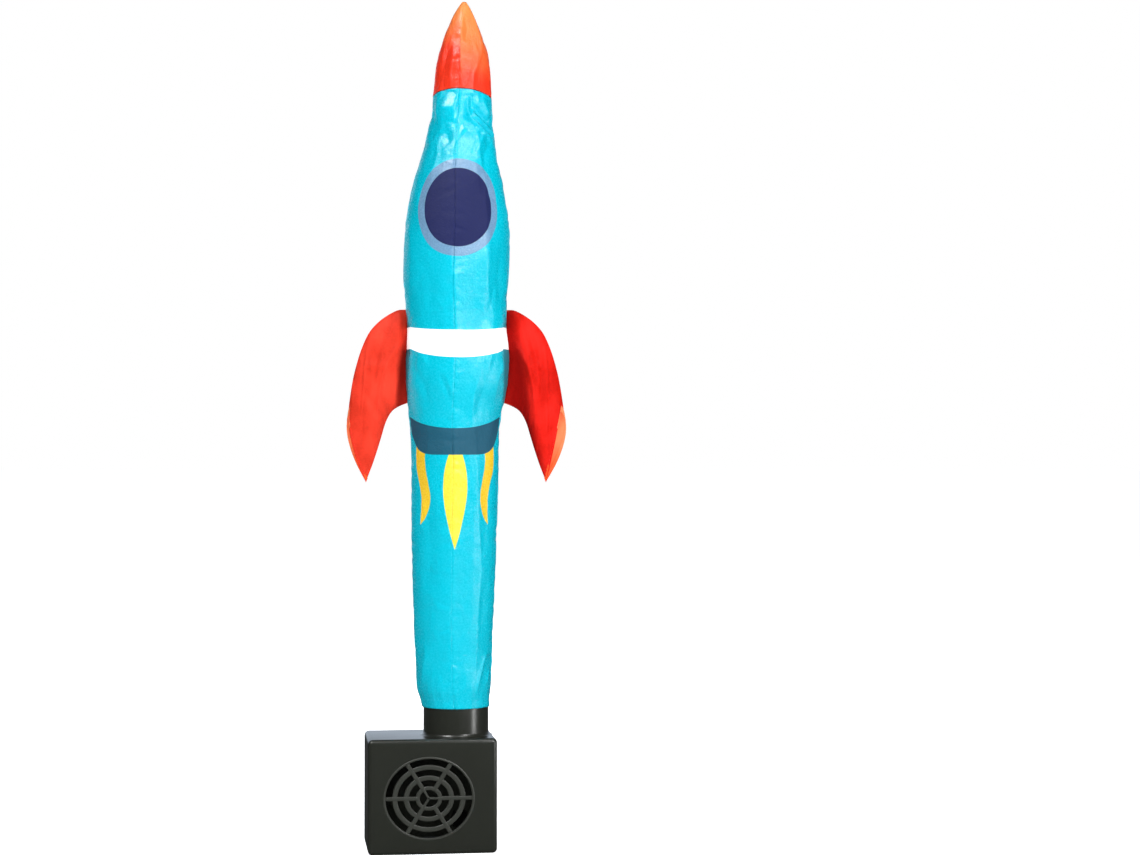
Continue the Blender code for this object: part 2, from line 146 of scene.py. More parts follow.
def wrapped(angle: Array) -> Array:
    """The same angle between -pi and pi."""
    return (angle + math.pi) % math.tau - math.pi


def even_places(low: float, high: float, pitch: float) -> Array:
    """Places from low to high, about one pitch apart."""
    return np.linspace(low, high, max(2, round((high - low) / pitch) + 1))


def link_mesh(name: str, mesh: bpy.types.Mesh) -> Piece:
    """Makes an object of a mesh and links it to the scene.

    Args:
        name: Its name.
        mesh: Its mesh.

    Returns:
        The new object, at the origin.
    """
    made = bpy.data.objects.new(name, mesh)
    bpy.context.scene.collection.objects.link(made)
    return made


def mesh_object(
    name: str,
    points: Array | list,
    faces: list[tuple[int, ...]],
    edges: list[tuple[int, int]] | None = None,
) -> Piece:
    """Makes a linked, smooth-shaded mesh object at the origin.

    Args:
        name: Name of the object and of its mesh.
        points: Corner places in metres.
        faces: Corner numbers of each face.
        edges: Corner numbers of each bare edge.

    Returns:
        The new object.
    """
    mesh = bpy.data.meshes.new(name)
    mesh.from_pydata([tuple(point) for point in points], edges or [], faces)
    mesh.update()
    mesh.shade_smooth()
    return link_mesh(name, mesh)


def face_outwards(made: Piece, merge: float = 1e-6) -> Piece:
    """Merges doubled corners and turns every face of a closed mesh outwards.

    Args:
        made: An object with a closed mesh.
        merge: How near doubled corners lie, in metres.

    Returns:
        The same object.
    """
    bm = bmesh.new()
    bm.from_mesh(made.data)
    bmesh.ops.remove_doubles(bm, verts=bm.verts, dist=merge)
    bmesh.ops.recalc_face_normals(bm, faces=bm.faces)
    bm.to_mesh(made.data)
    bm.free()
    return made


def crisp(made: Piece, degrees: float) -> Piece:
    """Shades an object smooth, apart from its sharp edges.

    Args:
        made: The object.
        degrees: The angle from which an edge is sharp.

    Returns:
        The same object.
    """
    made.data.shade_smooth()
    made.data.set_sharp_from_angle(angle=math.radians(degrees))
    return made


def settle(made: Piece) -> Piece:
    """Turns an object's modifiers into plain mesh.

    Args:
        made: An object with modifiers.

    Returns:
        The same object, without modifiers.
    """
    bpy.context.view_layer.update()
    evaluated = made.evaluated_get(bpy.context.evaluated_depsgraph_get())
    mesh = bpy.data.meshes.new_from_object(evaluated)
    made.modifiers.clear()
    made.data = mesh
    return made


def show(made: Piece, slot: str, *nodes: str) -> Piece:
    """Ties a finished piece to the frame.

    Args:
        made: The finished piece.
        slot: Not used.
        nodes: The CAD nodes that it stands for.

    Returns:
        The same piece.
    """
    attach(made, "root")
    if nodes:
        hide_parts(*nodes)
    LOG.info("%s: %d faces", made.name, len(made.data.polygons))
    return made


# Shader graphs


class Graph:
    """A node tree with short ways to add to it."""

    def __init__(self, tree: Tree) -> None:
        """Wraps a node tree."""
        self.tree = tree

    def feed(self, node: Node, key: str | int, value: object) -> None:
        """Gives an input its value.

        Args:
            node: The node.
            key: The input's name or number.
            value: A value, or the socket that it comes from.
        """
        if isinstance(value, Socket):
            self.tree.links.new(value, node.inputs[key])
        else:
            node.inputs[key].default_value = value

    def node(self, kind: str, inputs: dict | None = None, **settings: object) -> Node:
        """Adds a node.

        Args:
            kind: Its type, such as ShaderNodeMath.
            inputs: Values or sockets for its inputs, by name or number.
            settings: Values for its properties.

        Returns:
            The new node.
        """
        node = self.tree.nodes.new(kind)
        for key, value in settings.items():
            setattr(node, key, value)
        for key, value in (inputs or {}).items():
            self.feed(node, key, value)
        return node

    def add(self, kind: str, inputs: dict | None = None, **settings: object) -> Socket:
        """Adds a node as node() does, and gives its first output."""
        return self.node(kind, inputs, **settings).outputs[0]

    def math(self, operation: str, *values: float | Socket) -> Socket:
        """A math node's result."""
        return self.add("ShaderNodeMath", dict(enumerate(values)), operation=operation)

    def remap(
        self, value: Socket, given: tuple, wanted: tuple = (0.0, 1.0), **settings: object
    ) -> Socket:
        """Stretches one range of values to another.

        Args:
            value: What is measured.
            given: Its lowest and highest value.
            wanted: What these become.
            settings: Values for the node's properties.

        Returns:
            The new value.
        """
        names = ("Value", "From Min", "From Max", "To Min", "To Max")
        inputs = dict(zip(names, (value, *given, *wanted)))
        return self.add("ShaderNodeMapRange", inputs, **settings)

    def rising(self, value: Socket, edge: float | Socket, soft: float) -> Socket:
        """A mask that goes from 0 to 1 as a value passes an edge.

        Args:
            value: What is measured.
            edge: The middle of the change.
            soft: Half the width of the change.

        Returns:
            The mask.
        """
        low, high = self.math("SUBTRACT", edge, soft), self.math("ADD", edge, soft)
        return self.remap(value, (low, high), interpolation_type="SMOOTHSTEP")

    def opposite(self, mask: Socket) -> Socket:
        """Where a mask doesn't hold."""
        return self.math("SUBTRACT", 1.0, mask)

    def falling(self, value: Socket, edge: float | Socket, soft: float) -> Socket:
        """A mask that goes from 1 to 0 as a value passes an edge."""
        return self.opposite(self.rising(value, edge, soft))

    def both(self, one: Socket, other: Socket) -> Socket:
        """Where both masks hold."""
        return self.math("MULTIPLY", one, other)

    def mix(self, share: float | Socket, one: object, other: object) -> Socket:
        """Blends two colours by a share of the other."""
        inputs = {0: share, 6: one, 7: other}
        return self.node("ShaderNodeMix", inputs, data_type="RGBA").outputs[2]

    def scaled(self, vector: Socket, scale: float | Socket) -> Socket:
        """A vector or a colour times a number."""
        return self.add("ShaderNodeVectorMath", {0: vector, "Scale": scale}, operation="SCALE")

    def noise(
        self,
        place: Socket,
        scale: float | Socket,
        detail: float = 2.0,
        roughness: float = 0.5,
        colour: bool = False,
    ) -> Socket:
        """Soft noise.

        Args:
            place: Where it is read.
            scale: Lumps in a metre.
            detail: Finer layers.
            roughness: How strong they are.
            colour: Whether it gives a colour, not a number.

        Returns:
            The noise.
        """
        inputs = {"Vector": place, "Scale": scale, "Detail": detail, "Roughness": roughness}
        return self.node("ShaderNodeTexNoise", inputs).outputs[1 if colour else 0]

    def bump(self, height: Socket, depth: float, strength: float = 1.0, **over: Socket) -> Socket:
        """The normal of a surface with relief.

        Args:
            height: The relief.
            depth: Its depth in metres.
            strength: How much of it is used.
            over: The Normal that it lies on, where there is one.

        Returns:
            The normal.
        """
        inputs = {"Height": height, "Distance": depth, "Strength": strength, **over}
        return self.add("ShaderNodeBump", inputs)

    def curve(self, value: Socket, points: tuple[tuple[float, float], ...]) -> Socket:
        """Reads a smooth curve of a few points.

        Args:
            value: Where to read it.
            points: Its points, all between 0 and 1.

        Returns:
            The curve's value.
        """
        node = self.node("ShaderNodeFloatCurve", {"Value": value})
        line = node.mapping.curves[0]
        while len(line.points) < len(points):
            line.points.new(0.5, 0.5)
        for point, (place, height) in zip(line.points, sorted(points)):
            point.location = (place, height)
            point.handle_type = "AUTO"
        node.mapping.use_clip = False
        node.mapping.extend = "HORIZONTAL"
        node.mapping.update()
        return node.outputs["Value"]


def open_group(
    name: str, inputs: dict[str, tuple[str, object]], outputs: dict[str, str]
) -> tuple[Tree, Graph, Outputs, Node]:
    """Starts a shader node group.

    Args:
        name: Its name.
        inputs: Socket type and value by input name.
        outputs: Socket type by output name.

    Returns:
        The tree, its graph, what it is given, and its output node.
    """
    tree = bpy.data.node_groups.new(name, "ShaderNodeTree")
    for label, (kind, value) in inputs.items():
        socket = tree.interface.new_socket(label, in_out="INPUT", socket_type=kind)
        if value is not None:
            socket.default_value = value
    for label, kind in outputs.items():
        tree.interface.new_socket(label, in_out="OUTPUT", socket_type=kind)
    graph = Graph(tree)
    return tree, graph, graph.node("NodeGroupInput").outputs, graph.node("NodeGroupOutput")


def weave_group() -> Tree:
    """A fine plain weave: crossing threads that vary a little in brightness.

    Returns:
        The group, which gives the threads' height and tone.
    """
    tree, graph, given, result = open_group(
        "plain_weave",
        {"Place": ("NodeSocketVector", None), "Threads per Metre": ("NodeSocketFloat", 4000.0)},
        {"Height": "NodeSocketFloat", "Tone": "NodeSocketFloat"},
    )
    threads = graph.scaled(given["Place"], given["Threads per Metre"])
    parts = graph.node("ShaderNodeSeparateXYZ", {0: threads}).outputs
    across = graph.math("SINE", graph.math("MULTIPLY", parts[0], math.pi))
    along = graph.math("SINE", graph.math("MULTIPLY", parts[1], math.pi))
    weave = graph.math("MULTIPLY", across, along)
    slubs = graph.noise(given["Place"], scale=900.0, detail=3.0, roughness=0.6)
    weave_share = 0.14
    graph.feed(result, "Height", weave)
    graph.feed(result, "Tone", graph.math("MULTIPLY_ADD", weave, weave_share, slubs))
    return tree


def crumple_group() -> Tree:
    """Shallow handling creases in thin cloth: facets that meet in soft lines.

    Returns:
        The group, which gives the creases' height.
    """
    tree, graph, given, result = open_group(
        "handling_creases",
        {"Place": ("NodeSocketVector", None), "Facets per Metre": ("NodeSocketFloat", 70.0)},
        {"Height": "NodeSocketFloat"},
    )
    place = given["Place"]
    drift_reach, fold_share, crinkle_share = 0.012, -0.9, 0.1
    drift = graph.scaled(graph.noise(place, scale=40.0, colour=True), drift_reach)
    shifted = graph.add("ShaderNodeVectorMath", {0: place, 1: drift}, operation="ADD")
    facets = graph.add(
        "ShaderNodeTexVoronoi",
        {"Vector": shifted, "Scale": given["Facets per Metre"]},
        feature="SMOOTH_F1",
    )
    fine = graph.noise(place, scale=330.0, detail=3.0, roughness=0.6)
    folded = graph.math("ABSOLUTE", graph.math("SUBTRACT", fine, 0.5))
    crinkle = graph.noise(place, scale=850.0, roughness=0.6)
    height = graph.math("MULTIPLY_ADD", folded, fold_share, facets)
    height = graph.math("MULTIPLY_ADD", crinkle, crinkle_share, height)
    graph.feed(result, "Height", height)
    return tree


def grain_group() -> Tree:
    """The fine spark-eroded grain of moulded plastic, with faint handling marks.

    Returns:
        The group, which gives the grain's height and the marks.
    """
    tree, graph, given, result = open_group(
        "moulded_grain",
        {"Place": ("NodeSocketVector", None), "Grains per Metre": ("NodeSocketFloat", 2600.0)},
        {"Height": "NodeSocketFloat", "Wear": "NodeSocketFloat"},
    )
    graph.feed(result, "Height", graph.noise(given["Place"], given["Grains per Metre"]))
    graph.feed(result, "Wear", graph.noise(given["Place"], scale=45.0))
    return tree


@dataclass(frozen=True)
class Groups:
    """The node groups that the finishes share."""

    weave: Tree
    crumple: Tree
    grain: Tree

    @classmethod
    def build(cls) -> Groups:
        """Builds each group once."""
        return cls(weave_group(), crumple_group(), grain_group())


def new_material(name: str) -> tuple[Material, Graph, Node]:
    """Starts a material.

    Args:
        name: Its name.

    Returns:
        The material, its graph and its Principled shader.
    """
    material = bpy.data.materials.new(name)
    material.use_nodes = True
    return material, Graph(material.node_tree), material.node_tree.nodes["Principled BSDF"]


# What the cloth is dyed and printed with


class Ink(Enum):
    """The colours of the cloth, of what is printed on it, and of the hard pieces, some of them
    painted light and shade.
    """

    CYAN = linear(1, 200, 224)
    # Painted shade: the cyan beside the fins, where they shade the tube.
    CYAN_SHADE = linear(0, 92, 106)
    WHITE = linear(253, 253, 253)
    RIM = linear(116, 158, 194)
    NAVY = linear(1, 18, 84)
    SLATE = linear(10, 88, 114)
    YELLOW = linear(253, 232, 70)
    ORANGE = linear(253, 210, 52)
    NOSE_RED = linear(254, 58, 30)
    # Painted light at the nose's tip.
    NOSE_PEACH = linear(255, 152, 76)
    # Painted shadow in the nose's seam.
    SEAM_SHADE = linear(96, 34, 40)
    FIN_RED = linear(240, 30, 17)
    # Painted light on the left fin.
    FIN_LIGHT = linear(252, 64, 42)
    # Painted shade where the fins fold in against the tube.
    FIN_SHADE = linear(126, 5, 5)
    FIN_ORANGE = linear(250, 88, 34)
    # Painted light on the fins' inside, near the mouth.
    FIN_PEACH = linear(252, 138, 90)
    CHARCOAL = linear(38, 40, 35)
    # Painted light: a lighter grey than the housing, for the light the guard's bars catch.
    GUARD = linear(54, 56, 51)
    SOOT = linear(14, 14, 13)
    # Painted shade: near-black for the housing's inside, which lies in shade.
    DARK = linear(4, 4, 4)
    STEEL = linear(186, 186, 182)

    def shade(self, share: float, lift: float = 0.0) -> Colour:
        """The same colour, deeper or paler."""
        return tuple(min(1.0, part * share + lift) for part in self.value[:3]) + (1.0,)


class Edge(NamedTuple):
    """An edge across the cloth: its height in the middle and how fast its sides rise.

    The height is in metres, and the rise is in metres on a square metre.
    """

    height: float
    rise: float


class Motif(NamedTuple):
    """A point of a printed shape's outline, in millimetres on the flat cloth."""

    height: float
    middle: float
    half_width: float


@dataclass(frozen=True)
class RocketPrintAndPaintedShade:
    """What is printed on the body, on the flat cloth, and the painted shade beside the fins.

    Distances across are from the middle of the print, and heights are above the table.
    """

    porthole_height: float = 337.8 * MM
    porthole_radius: float = 20.9 * MM
    porthole_rim_radius: float = 25.9 * MM
    porthole_squash: float = 1.07
    white_band_top: Edge = Edge(273.5 * MM, 2.4)
    white_band_bottom: Edge = Edge(259.2 * MM, 5.4)
    band_reach: float = 30.0 * MM
    dark_band_top: Edge = Edge(222.2 * MM, 6.6)
    dark_band_bottom: float = 208.3 * MM
    dark_band_reach: float = 30.1 * MM
    dark_band_corner: float = 12.6 * MM
    dark_band_power: float = 5.6
    flames: tuple[float, float] = (155.0 * MM, 220.0 * MM)
    flame_unit: float = 25.0 * MM
    soft: float = 0.16 * MM
    # Painted shade on the back gores beside the fins, where the fins shade them.
    fin_shade: tuple[float, float] = (226.0 * MM, 280.0 * MM)
    fin_shade_soft: float = 6.0 * MM
    painted_fin_shade_from: float = 42.5 * MM
    painted_fin_shade_side_soft: float = 1.5 * MM
    painted_fin_shade_share: float = 0.7
    middle_flame: tuple[Motif, ...] = tuple(
        Motif(*point)
        for point in (
            (158.7, 0.0, 0.0), (165.4, 0.0, 2.0), (173.3, 0.0, 3.9), (181.3, 0.0, 5.5),
            (187.5, 0.0, 6.3), (193.2, 0.0, 6.35), (201.1, 0.0, 5.5), (209.1, 0.0, 3.2),
            (214.0, 0.0, 0.4),
        )
    )
    side_flame: tuple[Motif, ...] = tuple(
        Motif(*point)
        for point in (
            (171.6, 20.8, 0.0), (175.0, 19.0, 1.5), (181.4, 17.4, 2.8), (186.0, 17.1, 3.1),
            (193.4, 18.6, 3.3), (201.4, 20.9, 3.7), (206.0, 21.4, 3.7), (216.0, 20.6, 4.1),
        )
    )

    def above(self, graph: Graph, up: Socket, squared: Socket, edge: Edge) -> Socket:
        """The mask of all that lies above an edge, from the distance across, squared."""
        level = graph.math("MULTIPLY_ADD", squared, edge.rise, edge.height)
        return graph.rising(graph.math("SUBTRACT", up, level), 0.0, self.soft)

    def outline(self, graph: Graph, share: Socket, motif: tuple[Motif, ...], part: int) -> Socket:
        """Reads a printed shape's outline.

        Args:
            graph: The material's graph.
            share: How far up the flames' stretch of cloth a point is, from 0 to 1.
            motif: The outline.
            part: 1 for its middle line or 2 for its half width.

        Returns:
            The middle line or half width, in metres.
        """
        low, high = self.flames
        points = tuple(
            ((point.height * MM - low) / (high - low), point[part] * MM / self.flame_unit)
            for point in motif
        )
        return graph.math("MULTIPLY", graph.curve(share, points), self.flame_unit)

    def flame(self, graph: Graph, across: Socket, up: Socket, motif: tuple[Motif, ...]) -> Socket:
        """The mask of one flame.

        Args:
            graph: The material's graph.
            across: The distance across.
            up: The height on the cloth.
            motif: The flame's outline.

        Returns:
            The mask.
        """
        share = graph.remap(up, self.flames)
        middle, half = (self.outline(graph, share, motif, part) for part in (1, 2))
        off = graph.math("ABSOLUTE", graph.math("SUBTRACT", across, middle))
        inside = graph.rising(graph.math("SUBTRACT", half, off), 0.0, self.soft)
        above_tip = graph.rising(up, motif[0].height * MM, self.soft)
        below_top = graph.falling(up, motif[-1].height * MM, self.soft)
        return graph.both(graph.both(inside, above_tip), below_top)

    def bands(self, graph: Graph, away: Socket, up: Socket) -> tuple[Socket, Socket]:
        """The masks of the two bands round the body.

        Args:
            graph: The material's graph.
            away: The distance from the middle of the print.
            up: The height on the cloth.

        Returns:
            The white band and the dark one, which is rounded at its lower corners.
        """
        squared = graph.math("MULTIPLY", away, away)
        within = graph.math("MINIMUM", squared, self.band_reach**2)
        below, above, below_top = (
            self.above(graph, up, within, edge)
            for edge in (self.white_band_top, self.white_band_bottom, self.dark_band_top)
        )
        corner = graph.math("DIVIDE", away, self.dark_band_reach)
        corner = graph.math("POWER", corner, self.dark_band_power)
        bottom = graph.math("MULTIPLY_ADD", corner, self.dark_band_corner, self.dark_band_bottom)
        above_bottom = graph.rising(graph.math("SUBTRACT", up, bottom), 0.0, self.soft)
        white = graph.both(graph.opposite(below), above)
        return white, graph.both(above_bottom, graph.opposite(below_top))

    def paint(self, graph: Graph, across: Socket, up: Socket) -> Socket:
        """Cyan cloth with its porthole, bands and flames, and painted shade beside the fins.

        Args:
            graph: The material's graph.
            across: The distance across.
            up: The height on the cloth.

        Returns:
            The colour.
        """
        away = graph.math("ABSOLUTE", across)
        wide = graph.math("MULTIPLY", across, self.porthole_squash)
        tall = graph.math("SUBTRACT", up, self.porthole_height)
        squares = [graph.math("MULTIPLY", part, part) for part in (wide, tall)]
        from_porthole = graph.math("SQRT", graph.math("ADD", *squares))
        white, dark = self.bands(graph, away, up)
        # Painted shade beside the fins.
        low, high = self.fin_shade
        above_low = graph.rising(up, low, self.fin_shade_soft)
        below_high = graph.falling(up, high, self.fin_shade_soft)
        sideways = graph.rising(away, self.painted_fin_shade_from, self.painted_fin_shade_side_soft)
        beside = graph.both(graph.both(above_low, below_high), sideways)
        colour = Ink.CYAN.value
        for mask, ink in (
            (graph.math("MULTIPLY", beside, self.painted_fin_shade_share), Ink.CYAN_SHADE),
            (self.flame(graph, away, up, self.side_flame), Ink.ORANGE),
            (self.flame(graph, across, up, self.middle_flame), Ink.YELLOW),
            (dark, Ink.SLATE),
            (white, Ink.WHITE),
            (graph.falling(from_porthole, self.porthole_rim_radius, self.soft), Ink.RIM),
            (graph.falling(from_porthole, self.porthole_radius, self.soft), Ink.NAVY),
        ):
            colour = graph.mix(mask, colour, ink.value)
        return colour


@dataclass(frozen=True)
class NoseDyeAndPaintedLight:
    """Orange-red cloth with painted light, paler towards the tip, later on the left."""

    # Painted light, for light through the thin tip and on the right gore, which faces the lamp.
    painted_light_from: float = 405.0 * MM
    painted_light_by: float = 447.0 * MM
    left_of: float = -1.7 * MM
    left_soft: float = 0.5 * MM
    left_delay: float = 17.0 * MM
    clouds: float = 90.0
    cloud_reach: float = 14.0 * MM
    # Heights of the painted shadow along the nose seam.
    seam: tuple[float, float] = (400.35 * MM, 400.8 * MM)
    seam_shadow_share: float = 0.85

    def paint(self, graph: Graph, across: Socket, up: Socket) -> Socket:
        """Dyes the nose, with painted light to the tip and a painted shadow right at its seam.

        Args:
            graph: The material's graph.
            across: The distance across.
            up: The height on the cloth.

        Returns:
            The colour.
        """
        place = graph.add("ShaderNodeCombineXYZ", {0: across, 1: up})
        cloud = graph.math("SUBTRACT", graph.noise(place, self.clouds), 0.5)
        height = graph.math("MULTIPLY_ADD", cloud, self.cloud_reach, up)
        # The painted light comes later on the left gore, which faces away from the key light.
        left = graph.falling(across, self.left_of, self.left_soft)
        start = graph.math("MULTIPLY_ADD", left, self.left_delay, self.painted_light_from)
        paler = graph.remap(height, (start, self.painted_light_by))
        cloth = graph.mix(paler, Ink.NOSE_RED.value, Ink.NOSE_PEACH.value)
        # Painted shadow along the turned-in seam.
        sewn = graph.remap(up, self.seam, (self.seam_shadow_share, 0.0))
        return graph.mix(sewn, cloth, Ink.SEAM_SHADE.value)


@dataclass(frozen=True)
class DyeAndPaintedSheen:
    """Cloth of one dye in streaks along the cloth: partly uneven dye, partly painted sheen."""

    ink: Ink
    streaks: float = 85.0
    stretch: float = 0.55
    deepest: float = 0.72
    palest: tuple[float, float] = (1.05, 0.008)

    def paint(self, graph: Graph, across: Socket, up: Socket) -> Socket:
        """Dyes the cloth, with its painted sheen.

        Args:
            graph: The material's graph.
            across: The distance across.
            up: The height on the cloth.

        Returns:
            The colour.
        """
        along = graph.math("MULTIPLY", up, self.stretch)
        place = graph.add("ShaderNodeCombineXYZ", {0: across, 1: along})
        # Painted sheen: the paler streaks along the cloth.
        share = graph.rising(graph.noise(place, self.streaks, detail=3.0), 0.5, 0.2)
        return graph.mix(share, self.ink.shade(self.deepest), self.ink.shade(*self.palest))


class PaintedFoldShade(NamedTuple):
    """The stretch of a fin with painted shade, next to the tube, in millimetres.

    It reaches near at its low height and far at its high one, with a soft edge, and share
    says how dark its painted shade is.
    """

    low: float
    high: float
    near: float
    far: float
    soft: float
    share: float


@dataclass(frozen=True)
class FinDyeAndPaintedShading:
    """Red cloth, with painted shade where it folds against the tube and painted light on the left.
    """

    # Where the painted shade lies on each fin.
    left: PaintedFoldShade = PaintedFoldShade(240, 284, 32.5, 26.4, 1.3, 0.70)
    right: PaintedFoldShade = PaintedFoldShade(206, 276, 48.0, 34.5, 3.6, 0.82)

    def paint(self, graph: Graph, across: Socket, up: Socket) -> Socket:
        """Dyes both fins, with painted light and shade. The left one lies at negative distances
        across.

        Args:
            graph: The material's graph.
            across: The distance across.
            up: The height on the cloth.

        Returns:
            The colour.
        """
        on_right = graph.rising(across, 0.0, 1 * MM)
        on_left = graph.opposite(on_right)
        red, light = (
            DyeAndPaintedSheen(ink).paint(graph, across, up) for ink in (Ink.FIN_RED, Ink.FIN_LIGHT)
        )
        # Painted light: the left fin is dyed lighter.
        cloth = graph.mix(on_left, red, light)
        out = graph.math("ABSOLUTE", across)
        # Painted shade where each fin folds in against the tube.
        for side, fold in ((on_left, self.left), (on_right, self.right)):
            reach = graph.remap(
                up, (fold.low * MM, fold.high * MM), (fold.near * MM, fold.far * MM)
            )
            depth = graph.math("SUBTRACT", reach, out)
            inner = graph.both(graph.rising(depth, fold.soft * MM, fold.soft * MM), side)
            inner = graph.math("MULTIPLY", inner, fold.share)
            cloth = graph.mix(inner, cloth, Ink.FIN_SHADE.value)
        return cloth


@dataclass(frozen=True)
class FinInsideDyeAndPaintedLight:
    """The fins' inside, with painted light: paler where the day comes in at the mouth."""

    painted_light_from: float = 209.0 * MM
    soft: float = 7.0 * MM

    def paint(self, graph: Graph, across: Socket, up: Socket) -> Socket:
        """Dyes the inside, with its painted light.

        Args:
            graph: The material's graph.
            across: The distance across.
            up: The height on the cloth.

        Returns:
            The colour.
        """
        # Painted light, paler high in the mouth.
        pale = graph.rising(up, self.painted_light_from, self.soft)
        low, high = (
            DyeAndPaintedSheen(ink).paint(graph, across, up) for ink in (Ink.FIN_ORANGE, Ink.FIN_PEACH)
        )
        return graph.mix(pale, low, high)


# The finishes


@dataclass(frozen=True)
class ClothFinish:
    """Thin coated nylon: a fine weave, faint creases and a soft sheen.

    Its emission is painted light, which stands for the light that comes through the cloth
    from behind, where the cloth is at least as pale as the set threshold. Where its ink is
    dark, matt_ink is added to its roughness.
    """

    name: str
    roughness: float = 0.26
    matt_ink: float = 0.5
    gloss: float = 0.46
    painted_glow: float = 0.0
    painted_glow_from: float = 0.0
    weave_depth: float = 0.012 * MM
    crease_depth: float = 0.42 * MM
    threads: float = 3600.0
    facets: float = 85.0
    tones: tuple[float, float] = (0.86, 1.1)
    dark_inks: tuple[float, float] = (0.08, 0.5)

    def dress(self, groups: Groups, paint: Paint) -> Material:
        """Builds the material.

        Args:
            groups: The shared node groups.
            paint: Paints the cloth from the distance across and the height, in metres.

        Returns:
            The material.
        """
        material, graph, shader = new_material(self.name)
        place = graph.add("ShaderNodeUVMap", uv_map="pattern")
        across, up = graph.node("ShaderNodeSeparateXYZ", {0: place}).outputs[:2]
        threads = {"Place": place, "Threads per Metre": self.threads}
        weave = graph.node("ShaderNodeGroup", threads, node_tree=groups.weave).outputs
        facets = {"Place": place, "Facets per Metre": self.facets}
        crumple = graph.add("ShaderNodeGroup", facets, node_tree=groups.crumple)
        painted = paint(graph, across, up)
        tone = graph.remap(weave["Tone"], (0.0, 1.0), self.tones)
        graph.feed(shader, "Base Color", graph.scaled(painted, tone))
        between = (self.roughness - 0.05, self.roughness + 0.07)
        rough = graph.remap(weave["Tone"], (0.0, 1.0), between)
        red, _, blue = graph.node("ShaderNodeSeparateColor", {0: painted}).outputs[:3]
        brightest = graph.math("MAXIMUM", red, blue)
        matt = graph.remap(brightest, self.dark_inks, (self.matt_ink, 0.0))
        graph.feed(shader, "Roughness", graph.math("ADD", rough, matt))
        graph.feed(shader, "Specular IOR Level", self.gloss)
        # Painted light: an emission on cloth at least as pale as the threshold.
        if self.painted_glow:
            palest = graph.math("MINIMUM", red, blue)
            painted_glow_mask = graph.rising(palest, self.painted_glow_from - 0.1, 0.05)
            graph.feed(shader, "Emission Color", graph.mix(painted_glow_mask, (0.0, 0.0, 0.0, 1.0), painted))
            graph.feed(shader, "Emission Strength", self.painted_glow)
        creases = graph.bump(crumple, self.crease_depth)
        normal = graph.bump(weave["Height"], self.weave_depth, Normal=creases)
        graph.feed(shader, "Normal", normal)
        return material


@dataclass(frozen=True)
class PlasticFinish:
    """Moulded plastic with a fine grain. Steel and thread are made the same way."""

    name: str
    ink: Ink
    roughness: float = 0.29
    grain_depth: float = 0.005 * MM
    grain_strength: float = 0.8
    metallic: float = 0.0

    def dress(self, groups: Groups) -> Material:
        """Builds the material.

        Args:
            groups: The shared node groups.

        Returns:
            The material.
        """
        material, graph, shader = new_material(self.name)
        place = graph.node("ShaderNodeTexCoord").outputs["Object"]
        grain = graph.node("ShaderNodeGroup", {"Place": place}, node_tree=groups.grain).outputs
        colour = graph.mix(grain["Wear"], self.ink.shade(0.95), self.ink.shade(1.06))
        graph.feed(shader, "Base Color", colour)
        between = (self.roughness - 0.01, self.roughness + 0.02)
        graph.feed(shader, "Roughness", graph.remap(grain["Wear"], (0.3, 0.7), between))
        graph.feed(shader, "Specular IOR Level", 0.5)
        graph.feed(shader, "Metallic", self.metallic)
        normal = graph.bump(grain["Height"], self.grain_depth, self.grain_strength)
        graph.feed(shader, "Normal", normal)
        return material


@dataclass(frozen=True)
class Wardrobe:
    """Every finish of the object."""

    body: Material
    nose: Material
    fin: Material
    fin_inside: Material
    housing: Material
    guard: Material
    steel: Material
    inside: Material
    socket: Material
    body_thread: Material
    fin_thread: Material

    @classmethod
    def build(cls) -> Wardrobe:
        """Builds every finish.

        Returns:
            The finishes.
        """
        groups = Groups.build()
        # The body's emission is painted light on its white print.
        body = ClothFinish("body_cloth", painted_glow=0.4, painted_glow_from=0.9)
        nose = ClothFinish("nose_cloth", roughness=0.36, gloss=0.34)
        fin = ClothFinish("fin_cloth", roughness=0.46, gloss=0.04)
        # The fins' inside shines with painted light.
        fin_inside = ClothFinish("fin_cloth_inside", roughness=0.5, gloss=0.15, painted_glow=0.26)
        return cls(
            body=body.dress(groups, RocketPrintAndPaintedShade().paint),
            nose=nose.dress(groups, NoseDyeAndPaintedLight().paint),
            fin=fin.dress(groups, FinDyeAndPaintedShading().paint),
            fin_inside=fin_inside.dress(groups, FinInsideDyeAndPaintedLight().paint),
            housing=PlasticFinish("housing_plastic", Ink.CHARCOAL).dress(groups),
            # The guard's lighter grey is painted light.
            guard=PlasticFinish("guard_plastic", Ink.GUARD, 0.4).dress(groups),
            steel=PlasticFinish("screw_steel", Ink.STEEL, 0.34, metallic=1.0).dress(groups),
            # Painted shade: the housing's inside is near-black.
            inside=PlasticFinish("housing_inside", Ink.DARK, 0.8).dress(groups),
            socket=PlasticFinish("socket_plastic", Ink.SOOT, 0.32).dress(groups),
            body_thread=PlasticFinish("body_thread", Ink.CYAN, 0.6).dress(groups),
            fin_thread=PlasticFinish("fin_thread", Ink.FIN_RED, 0.6).dress(groups),
        )


# What repeats


